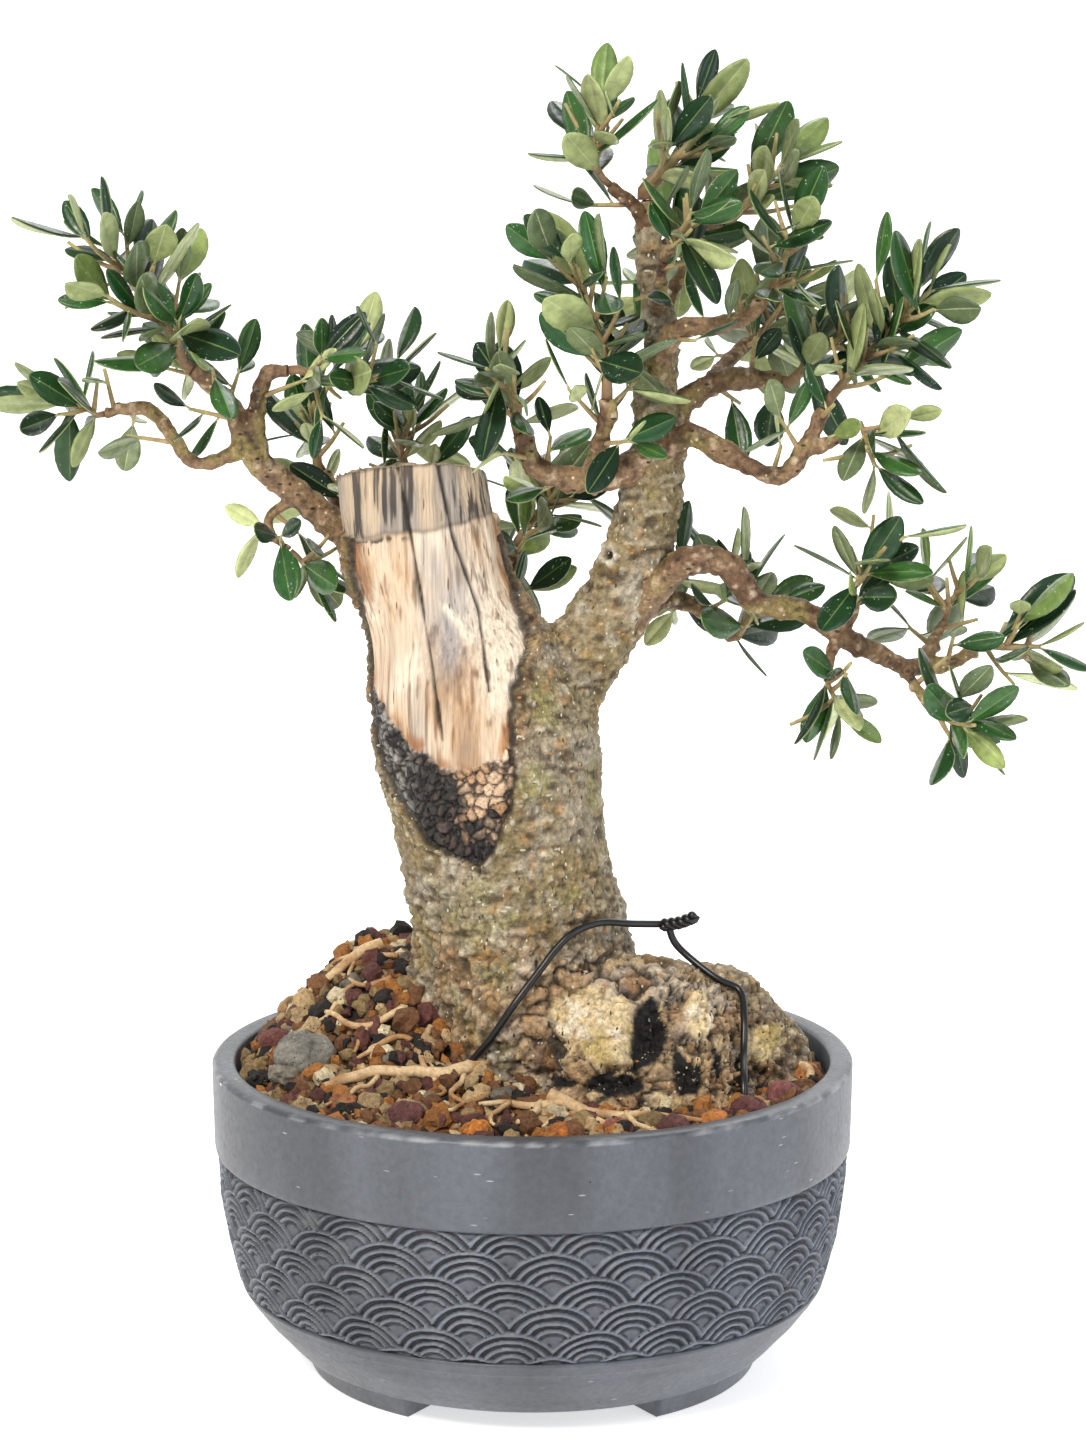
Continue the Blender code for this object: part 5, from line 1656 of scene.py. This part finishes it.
@dataclass
class Soil:
    """Grit of baked clay and lava over dark soil, heaped behind the trunk's left side."""

    radius: float = 101.0
    edge: float = 101.5
    heap_height: float = 38.0
    heap_centre: tuple = (-40.0, 22.0)
    heap_radius: float = 46.0
    grains: int = 4600
    grain_sizes: tuple = (1.5, 3.6)
    stones: int = 900
    stone_sizes: tuple = (2.8, 5.2)
    bed_steps: int = 96
    bed_rings: int = 34
    bed_depth: float = 1.8
    spread: float = 0.975
    sinks: tuple = (-0.6, 0.75)
    lumpiness: float = 0.28
    girths: tuple = (0.65, 1.1)
    tones: tuple = (0.7, 1.25)
    boulders: tuple = (
        (-77, -24, 10.5, "#7a7870"), (-41, -72, 6.5, "#5c3836"), (46, -80, 6.0, "#5f3a38"),
        (71, -62, 7.0, "#5a3332"), (84, -42, 6.5, "#714442"), (60, -72, 5.5, "#a86a34"),
        (-18, -86, 5.5, "#b5702e"), (10, -88, 5.5, "#a9642c"), (-62, -58, 5.0, "#8c5a3a"),
        (28, -84, 5.5, "#7b4a3c"), (-88, -2, 6.0, "#70413c"), (92, -14, 6.0, "#a56c3a"),
        (-84, 34, 6.0, "#9d7e58"), (-30, 86, 6.5, "#704441"), (20, 90, 6.0, "#a9703a"),
        (64, 62, 6.5, "#6f4140"), (88, 30, 6.0, "#8f8a80"), (-64, 66, 6.0, "#a46c38"),
    )
    palette: tuple = (
        ("#93602c", 0.15), ("#a8906a", 0.17), ("#6d4a2e", 0.17), ("#55312c", 0.14), ("#85704c", 0.13),
        ("#1f1a17", 0.14), ("#6f6a60", 0.04), ("#cbbd9c", 0.06),
    )

    def height(self, x: np.ndarray, y: np.ndarray) -> np.ndarray:
        """Find the height of the soil's surface.

        Args:
            x: Places across.
            y: Places from front to back.

        Returns:
            The height at each.
        """
        away = np.hypot(x - self.heap_centre[0], y - self.heap_centre[1]) / self.heap_radius
        edge = 1.0 - np.minimum(1.0, np.hypot(x, y) / self.radius) ** 8
        return self.edge + self.heap_height * edge / (1.0 + away**4)

    def build(self) -> list[bpy.types.Object]:
        """Lay the under-layer and strew the grit.

        Returns:
            The under-layer and the grit.
        """
        share = np.linspace(0.0, 1.0, self.bed_rings)[:, None]
        turn = np.arange(self.bed_steps)[None, :] * math.tau / self.bed_steps
        x = (self.radius * share * np.cos(turn)).ravel()
        y = (self.radius * share * np.sin(turn)).ravel()
        points = np.stack([x, y, self.height(x, y) - self.bed_depth], 1)
        under = mesh_piece("soil_bed", points, grid_faces(self.bed_rings, self.bed_steps, True))
        give_tint(under, np.broadcast_to(tone("#231912"), (len(points), 3)))
        dress(under, "soil_grit", GRIT)
        fine = self.strewn(1, self.grains, self.grain_sizes, 301)
        coarse = self.strewn(2, self.stones, self.stone_sizes, 302)
        return [under, fine, coarse, self.lava()]

    def lava(self) -> bpy.types.Object:
        """Set the biggest stones: porous lumps of lava near the rim.

        Returns:
            The stones as one piece.
        """
        heap = Heap()
        for number, (x, y, size, code) in enumerate(self.boulders):
            level = float(self.height(np.array(x), np.array(y)))
            points, faces = ball((0.0, 0.0, 0.0), (size, size * 0.85, size * 0.75), 28, 18)
            apart = points + 40.0 * number
            _, _, facet = cells(apart, size * 0.9, 311)
            pore, _, _ = cells(apart, 1.9, 313)
            hollow = ramp(-pore, -0.75, -0.35)
            out = 1.0 + 0.16 * (facet - 0.5) + 0.1 * noise(apart, size * 0.6, 317, 3) - 0.08 * hollow
            # Painted shade: the sunk pores darkened to a quarter of the stone's colour.
            colours = mix(tone(code) * (0.75 + 0.5 * facet[:, None]), tone(code) * 0.25, 0.8 * hollow)
            heap.add(points * out[:, None] + np.array((x, y, level + size * 0.3)), faces, colours)
        obj = heap.piece("soil_lava")
        dress(obj, "soil_grit", GRIT)
        return obj

    def strewn(self, detail: int, count: int, sizes: tuple, seed: int) -> bpy.types.Object:
        """Grains strewn over the surface.

        Args:
            detail: How finely each grain is cut.
            count: How many.
            sizes: Smallest and largest half-width.
            seed: Starts the random numbers.

        Returns:
            The grains as one piece.
        """
        rng = np.random.default_rng(seed)
        bm = bmesh.new()
        bmesh.ops.create_icosphere(bm, subdivisions=detail, radius=1.0)
        shape = np.array([vert.co for vert in bm.verts])
        faces = np.array([[vert.index for vert in face.verts] for face in bm.faces])
        bm.free()
        turn = rng.uniform(0, math.tau, count)
        away = self.radius * np.sqrt(rng.uniform(0, 1, count)) * self.spread
        x, y = away * np.cos(turn), away * np.sin(turn)
        size = sizes[0] + (sizes[1] - sizes[0]) * rng.power(0.8, count)
        lift = rng.uniform(*self.sinks, count) * size
        seat = np.stack([x, y, self.height(x, y) - 0.4 + lift], 1)
        spin = rng.normal(size=(count, 4))
        spin /= np.linalg.norm(spin, axis=1, keepdims=True)
        w, a, b, c = spin.T
        matrix = np.stack(
            [1 - 2 * (b * b + c * c), 2 * (a * b - c * w), 2 * (a * c + b * w),
             2 * (a * b + c * w), 1 - 2 * (a * a + c * c), 2 * (b * c - a * w),
             2 * (a * c - b * w), 2 * (b * c + a * w), 1 - 2 * (a * a + b * b)], 1
        ).reshape(-1, 3, 3)
        lumps = shape[None] * (1 + self.lumpiness * rng.uniform(-1, 1, (count, len(shape), 1)))
        lumps = lumps * size[:, None, None] * rng.uniform(*self.girths, (count, 1, 3))
        points = np.einsum("nij,nkj->nki", matrix, lumps) + seat[:, None]
        codes, shares = zip(*self.palette)
        pick = rng.choice(len(codes), count, p=np.array(shares) / sum(shares))
        tones = np.stack([tone(code) for code in codes])[pick] * rng.uniform(*self.tones, (count, 1))
        colours = np.repeat(tones, len(shape), 0)
        all_faces = (faces[None] + (np.arange(count) * len(shape))[:, None, None]).reshape(-1, 3)
        obj = mesh_piece(f"soil_grit_{detail}", points.reshape(-1, 3), all_faces, smooth=False)
        give_tint(obj, colours)
        dress(obj, "soil_grit", GRIT)
        return obj


@dataclass
class TieWire:
    """The black wire over the root, twisted where its legs meet."""

    radius: float = 1.25
    sides: int = 12
    left_leg: tuple = ((-30, -58, 101), (-26, -48, 108), (-21, -40, 114), (-14, -42, 123), (-6, -42, 135),
                       (3, -37, 146), (8, -34, 152), (14, -31, 157), (23, -25, 159), (34, -18, 157),
                       (46, -14, 156))
    right_leg: tuple = ((46, -14, 156), (48, -14, 150), (53, -16, 145), (62, -21, 139), (70, -23, 135),
                        (71, -32, 127), (70.6, -38, 118), (70, -51, 111), (70, -55, 100))
    twist: tuple = ((44, -15.5, 156), (50, -18, 157.5), (55, -20, 160))
    twist_turns: float = 2.5

    def build(self) -> bpy.types.Object:
        """Draw the legs and the tail.

        Returns:
            The wire.
        """
        heap = Heap()
        for path in (smooth_path(self.left_leg, 1.5), smooth_path(self.right_leg, 1.5), *self.strands()):
            heap.add(*tube_mesh(path, np.full(len(path), self.radius), self.sides), tone("#121315"))
        obj = heap.piece("tie_wire_black")
        dress(obj, "black_wire", WIRE)
        return obj

    def strands(self) -> list[np.ndarray]:
        """Twist two strands round each other where the legs meet.

        Returns:
            The path of each.
        """
        core = smooth_path(self.twist, 0.8)
        along = unit(core[-1] - core[0])
        side = unit(np.cross(along, UP))
        other = np.cross(along, side)
        turn = np.linspace(0.0, self.twist_turns * math.tau, len(core))[:, None]
        swing = self.radius * (np.cos(turn) * side + np.sin(turn) * other)
        return [core + swing, core - swing]


@dataclass
class Roots:
    """Dry surface roots, lying on the grit round the trunk."""

    sides: int = 10
    runs: tuple = (
        ((-70, -46, 2.2), (-52, -42, 2.3), (-34, -46, 2.6), (-22, -42, 3.0), (-14, -36, 3.2)),
        ((-34, -46, 1.2), (-40, -34, 1.3), (-36, -26, 1.4)),
        ((-22, -44, 1.2), (-28, -56, 1.1), (-24, -64, 0.8)),
        ((6, -56, 3.2), (12, -62, 2.8), (18, -70, 2.2), (22, -80, 1.4), (24, -86, 0.9)),
        ((12, -62, 2.0), (2, -64, 1.8), (-8, -62, 1.4), (-16, -66, 1.0)),
        ((18, -68, 2.0), (30, -70, 1.8), (44, -72, 1.4), (58, -74, 0.9)),
        ((2, -64, 1.4), (0, -74, 1.4), (-4, -84, 0.9)), ((14, -66, 1.1), (6, -76, 1.1), (4, -84, 0.7)),
        ((30, -70, 1.2), (34, -80, 1.0), (40, -86, 0.7)), ((-8, -62, 1.0), (-12, -76, 1.0), (-10, -84, 0.7)),
        ((84, -8, 3.0), (92, -16, 2.4), (95, -26, 1.6)), ((-52, -42, 1.2), (-58, -54, 1.0), (-66, -60, 0.7)),
        ((-52, 10, 2.6), (-66, 6, 2.0), (-80, 10, 1.2)),
        ((-44, -20, 1.6), (-56, -22, 1.4), (-66, -14, 1.2), (-72, -2, 0.8)),
        ((-48, -8, 1.2), (-60, -4, 1.1), (-62, 8, 0.8)),
        ((-40, -30, 1.3), (-50, -30, 1.2), (-58, -34, 0.9)), ((-56, -22, 1.0), (-60, -32, 0.8)),
        ((-46, 2, 1.1), (-58, 14, 1.0), (-72, 20, 0.8)), ((-36, -38, 1.2), (-30, -52, 1.0), (-34, -62, 0.7)),
        ((-14, -52, 1.3), (-20, -60, 1.1), (-30, -70, 0.8)),
        ((-60, -6, 0.9), (-72, -10, 0.8), (-84, -6, 0.6)),
        ((10, 54, 2.6), (4, 66, 2.0), (-8, 78, 1.2)),
        ((48, 44, 2.4), (58, 54, 1.8), (66, 58, 1.2)),
    )
    wander: float = 2.2
    arch: float = 1.4
    rest: float = 2.4
    slimness: float = 0.8

    def build(self, soil: Soil) -> bpy.types.Object:
        """Lay the roots on the soil.

        Args:
            soil: What they lie on.

        Returns:
            The piece.
        """
        heap = Heap()
        for number, run in enumerate(self.runs):
            path = smooth_path(run, 2.0)
            wander = [noise(path, 9.0, salt + number, 2) for salt in (401, 431)]
            wander = self.wander * np.stack(wander, 1)
            x, y = (path[:, :2] + wander).T
            arch = self.arch * noise(path, 14.0, 461 + number, 1)
            line = np.stack([x, y, soil.height(x, y) + self.rest + 0.6 * path[:, 2] + arch], 1)
            points, faces = tube_mesh(line, path[:, 2] * self.slimness, self.sides, salt=471 + number)
            pale = mix(tone("#d3b890"), tone("#a47c52"), ramp(noise(points, 6.0, 491, 2), -0.5, 0.6))
            heap.add(points, faces, pale)
        obj = heap.piece("surface_roots")
        dress(obj, "young_bark", ROOT_SKIN)
        return obj


@dataclass
class Crown:
    """The foliage: twigs, leaf stalks and leaves on every bough's end."""

    limbs: tuple[Limb, ...]
    extra_seed: int = 500
    extra_share: float = 0.6
    stations: tuple = (0.0, 0.08, 0.2, 0.36, 0.54, 0.7, 0.83, 0.92, 0.975, 1.0)
    half_widths: tuple = (0.04, 0.13, 0.27, 0.41, 0.47, 0.44, 0.345, 0.225, 0.12, 0.02)
    columns: tuple = (-1.0, -0.55, -0.07, 0.0, 0.07, 0.55, 1.0)
    light: tuple = (0.0, -0.45, 0.9)
    light_turn: float = 0.6
    stalk: float = 2.6
    thickness: float = 0.5
    upper_tones: tuple = ("#12341a", "#1a421e", "#265022", "#0d2b18", "#335c28")
    under_tones: tuple = ("#93a06a", "#a9b67c", "#75835c", "#b8c38a", "#5f6f4e")
    young_tones: tuple = ("#7f9450", "#93a45e", "#6b8544")
    extra_leaf_length: float = 22.0
    spray_tones: tuple = (0.8, 1.15)
    leaf_tones: tuple = (0.8, 1.2)
    felt_tones: tuple = (0.88, 1.08)
    young_share: float = 0.25
    bends: tuple = (-0.05, 0.14)
    cups: tuple = (-0.05, 0.16)
    midrib: float = 0.35
    stalk_radii: tuple = (0.55, 0.42, 0.3)
    stalk_sides: int = 5
    twig_sides: int = 8

    def build(self, wood: Wood, spaces: Spaces) -> dict[str, bpy.types.Object]:
        """Grow every mass and join its parts by kind.

        Args:
            wood: The trunk and limbs.
            spaces: The masses' own spaces.

        Returns:
            The leaves and the twigs.
        """
        leaves, twigs = Heap(), Heap()
        rng = random.Random(11)
        named = {limb.name: limb for limb in self.limbs}
        for index, mass in enumerate(MASSES):
            spray = Spray(index, named, wood, spaces)
            spray.grow(mass.seed, mass.shoots)
            first = len(spray.leaves)
            spray.room = self.room()
            spray.leaf_length = self.extra_leaf_length
            spray.grow(mass.seed + self.extra_seed, max(1, round(mass.shoots * self.extra_share)))
            spray.sprout(mass.seed + 2 * self.extra_seed)
            LOG.info("%s: %d leaves and %d more", mass.name, first, len(spray.leaves) - first)
            self.add_twigs(spray, twigs)
            dark = rng.uniform(*self.spray_tones)
            for leaf in spray.leaves:
                self.add_leaf(leaf, leaves, twigs, dark, rng)
        pieces = {"leaves": leaves.piece("olive_leaves"), "twigs": twigs.piece("olive_twigs")}
        dress(pieces["leaves"], "olive_leaf", LEAF_TOP, LEAF_UNDER)
        dress(pieces["twigs"], "olive_leaf", TWIG_SKIN)
        return pieces

    @staticmethod
    def room() -> tuple[np.ndarray, np.ndarray]:
        """The low and the high corner of the solids' box, in millimetres round the pot's axis."""
        low, high = (np.array(corner) for corner in CAD_BOX)
        return (low - POT_AXIS) / MM, (high - POT_AXIS) / MM

    def add_twigs(self, spray: Spray, heap: Heap) -> None:
        """Put a spray's stem and shoots in.

        Args:
            spray: The spray.
            heap: Gathers twigs.
        """
        for number, (path, (first, last)) in enumerate(spray.twigs):
            run = smooth_path(path, 3.0)
            share = np.linspace(0.0, 1.0, len(run))
            old = tone("#7a5c43") if number == 0 else tone("#9c7f5e")
            colours = mix(old, tone("#a39a68"), share)
            points, faces = tube_mesh(run, first + (last - first) * share, self.twig_sides, salt=3 + number)
            heap.add(points, faces, np.repeat(colours, self.twig_sides, 0))

    def add_leaf(self, leaf: Leaf, leaves: Heap, twigs: Heap, dark: float, rng: random.Random) -> None:
        """Put one leaf and its stalk in.

        Args:
            leaf: The leaf.
            leaves: Gathers blades.
            twigs: Gathers stalks.
            dark: How dark its spray is.
            rng: The random numbers.
        """
        turned = leaf.face.dot(np.array(self.light)) < 0 and rng.random() < self.light_turn
        facing = -leaf.face if turned else leaf.face
        across = np.cross(leaf.along, facing)
        bend = rng.uniform(*self.bends) * leaf.length
        cup = rng.uniform(*self.cups) * leaf.width
        share = np.array(self.stations)
        start = leaf.root + leaf.along * self.stalk * 0.8
        reach = leaf.length - self.stalk * 0.8
        middle = start + leaf.along * (share * reach)[:, None] - facing * (bend * share**2)[:, None]
        columns = np.array(self.columns)
        half = np.array(self.half_widths) * leaf.width
        side = half[:, None] * columns
        lift = cup * np.abs(columns) ** 2 + self.midrib * (columns == 0) * -1.0 + 0.1
        full = (half / half.max())[:, None, None]
        blade = middle[:, None] + side[..., None] * across - lift[None, :, None] * facing * full
        upper = (blade + facing * self.thickness / 2).reshape(-1, 3)
        under = (blade - facing * self.thickness / 2).reshape(-1, 3)
        count = len(upper)
        top_faces = grid_faces(len(share), len(columns), False)
        faces = top_faces[:, ::-1].tolist() + (top_faces + count).tolist()
        rim = self.rim(len(share), len(columns))
        for first, second in zip(rim, rim[1:] + rim[:1]):
            faces.append([first, second, second + count, first + count])
        young = leaf.young and rng.random() < self.young_share
        green = tone(rng.choice(self.young_tones if young else self.upper_tones)) * dark
        green = green * rng.uniform(*self.leaf_tones)
        pale = tone(rng.choice(self.under_tones)) * rng.uniform(*self.felt_tones)
        vein = (columns == 0)[None, :].repeat(len(share), 0).ravel()
        green = mix(np.broadcast_to(green, (count, 3)), tone("#7f9a58"), 0.7 * vein)
        pale = mix(np.broadcast_to(pale, (count, 3)), tone("#cdd3a8"), 0.8 * vein)
        slots = [0] * len(top_faces) + [1] * (len(faces) - len(top_faces))
        leaves.add(np.vstack([upper, under]), faces, np.vstack([green, pale]), slots)
        stalk = np.array([leaf.root, start, start + leaf.along * 1.5])
        points, sides = tube_mesh(stalk, np.array(self.stalk_radii), self.stalk_sides)
        twigs.add(points, sides, tone("#b5b788"))

    @staticmethod
    def rim(rows: int, columns: int) -> list[int]:
        """Walk round the edge of a grid.

        Args:
            rows: How many rows of points.
            columns: How many points to a row.

        Returns:
            The corner numbers in order.
        """
        bottom = list(range(columns))
        right = [row * columns + columns - 1 for row in range(1, rows)]
        top = [(rows - 1) * columns + column for column in range(columns - 2, -1, -1)]
        left = [row * columns for row in range(rows - 2, 0, -1)]
        return bottom + right + top + left


@dataclass
class Studio:
    """A pale sweep of floor, soft lights and the camera."""

    floor_half: float = 4.0
    back: float = 1.4
    bend: float = 1.0
    floor_glow: float = 0.6
    world_light: float = 0.42
    camera_place: tuple = (0.0036, -1.2, 0.4257)
    camera_pitch: float = 0.1679
    focal_px: float = 3587.2
    image_height: float = 1448.0
    sensor: float = 36.0
    lights: tuple = (
        ("key", (-0.7, -1.4, 1.5), 0.6, 34.0, "#fff6ea"),
        ("fill", (1.3, -1.0, 0.9), 1.0, 8.0, "#eef4ff"),
        ("back_light", (0.3, 1.2, 1.6), 1.0, 12.0, "#ffffff"),
    )
    aim: tuple = (0.0, 0.0, 0.2)

    def build(self) -> None:
        """Lay the floor, hang the lights and set the camera."""
        self.lay_floor()
        for light in self.lights:
            self.hang(*light)
        world = bpy.data.worlds.new("studio")
        world.use_nodes = True
        world.node_tree.nodes["Background"].inputs["Color"].default_value = linear("#ffffff")
        world.node_tree.nodes["Background"].inputs["Strength"].default_value = self.world_light
        bpy.context.scene.world = world
        bpy.context.scene.view_settings.view_transform = "Standard"
        lens = bpy.data.cameras.new("camera")
        lens.sensor_width = self.sensor
        lens.lens = self.focal_px / self.image_height * self.sensor
        camera = bpy.data.objects.new("camera", lens)
        camera.location = Vector(self.camera_place) + Vector(POT_AXIS)
        camera.rotation_euler = (math.pi / 2 - self.camera_pitch, 0.0, 0.0)
        bpy.context.scene.collection.objects.link(camera)
        bpy.context.scene.camera = camera

    def lay_floor(self) -> None:
        """A plain pale floor that sweeps up behind the plant."""
        turn = np.linspace(0.0, math.pi / 2, 24)
        curve = zip(self.back + self.bend * np.sin(turn), self.bend * (1 - np.cos(turn)))
        runs = [(-self.floor_half, 0.0), *curve, (self.back + self.bend, self.floor_half)]
        points = [(side * self.floor_half, y, z) for y, z in runs for side in (-1.0, 1.0)]
        mesh = bpy.data.meshes.new("floor")
        mesh.from_pydata(points, [], grid_faces(len(runs), 2, False).tolist())
        mesh.shade_smooth()
        floor = bpy.data.objects.new("floor", mesh)
        bpy.context.scene.collection.objects.link(floor)
        paint = bpy.data.materials.new("floor_paint")
        paint.use_nodes = True
        shader = paint.node_tree.nodes["Principled BSDF"]
        shader.inputs["Base Color"].default_value = linear("#f8f8f8")
        shader.inputs["Roughness"].default_value = 0.9
        shader.inputs["Emission Color"].default_value = linear("#ffffff")
        shader.inputs["Emission Strength"].default_value = self.floor_glow
        mesh.materials.append(paint)

    def hang(self, name: str, place: tuple, size: float, power: float, colour: str) -> None:
        """Hang one soft square light that faces the plant.

        Args:
            name: Its name.
            place: Where it hangs, in metres.
            size: The length of its side.
            power: Its power in watts.
            colour: Its colour.
        """
        light = bpy.data.lights.new(name, "AREA")
        light.size = size
        light.energy = power
        light.color = linear(colour)[:3]
        obj = bpy.data.objects.new(name, light)
        obj.location = place
        obj.rotation_euler = (Vector(self.aim) - obj.location).to_track_quat("-Z", "Y").to_euler()
        bpy.context.scene.collection.objects.link(obj)


def main() -> None:
    """Build the pot, the soil, the wood, the leaves and the studio."""
    logging.basicConfig(level=logging.INFO, format="%(message)s")
    limbs = {limb.name: limb for limb in LIMBS}
    line = smooth_path(TRUNK_AXIS, LIMB_STEP)
    below_saw = line[:, 2] < STUMP_TOP - STUMP_DOME
    trunk_line = (line[below_saw, :3], line[below_saw, 3])
    wood = Wood([trunk_line, *(limb_line(limb) for limb in LIMBS)])
    spaces = Spaces(MASSES, limbs)
    bark, _ = Trunk().build(LIMBS)
    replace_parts(bark, "trunk", *LEADERS)
    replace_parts(Boughs().build(LIMBS), *(name for name in limbs if name not in LEADERS))
    body, _ = Pot().build()
    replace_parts(body, "pot")
    soil = Soil()
    bed, *_ = soil.build()
    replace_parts(bed, "soil")
    Roots().build(soil)
    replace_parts(TieWire().build(), "tie_wire")
    crown = Crown(LIMBS).build(wood, spaces)
    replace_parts(crown["leaves"], *(mass.name for mass in MASSES))
    Studio().build()


if __name__ == "__main__":
    main()
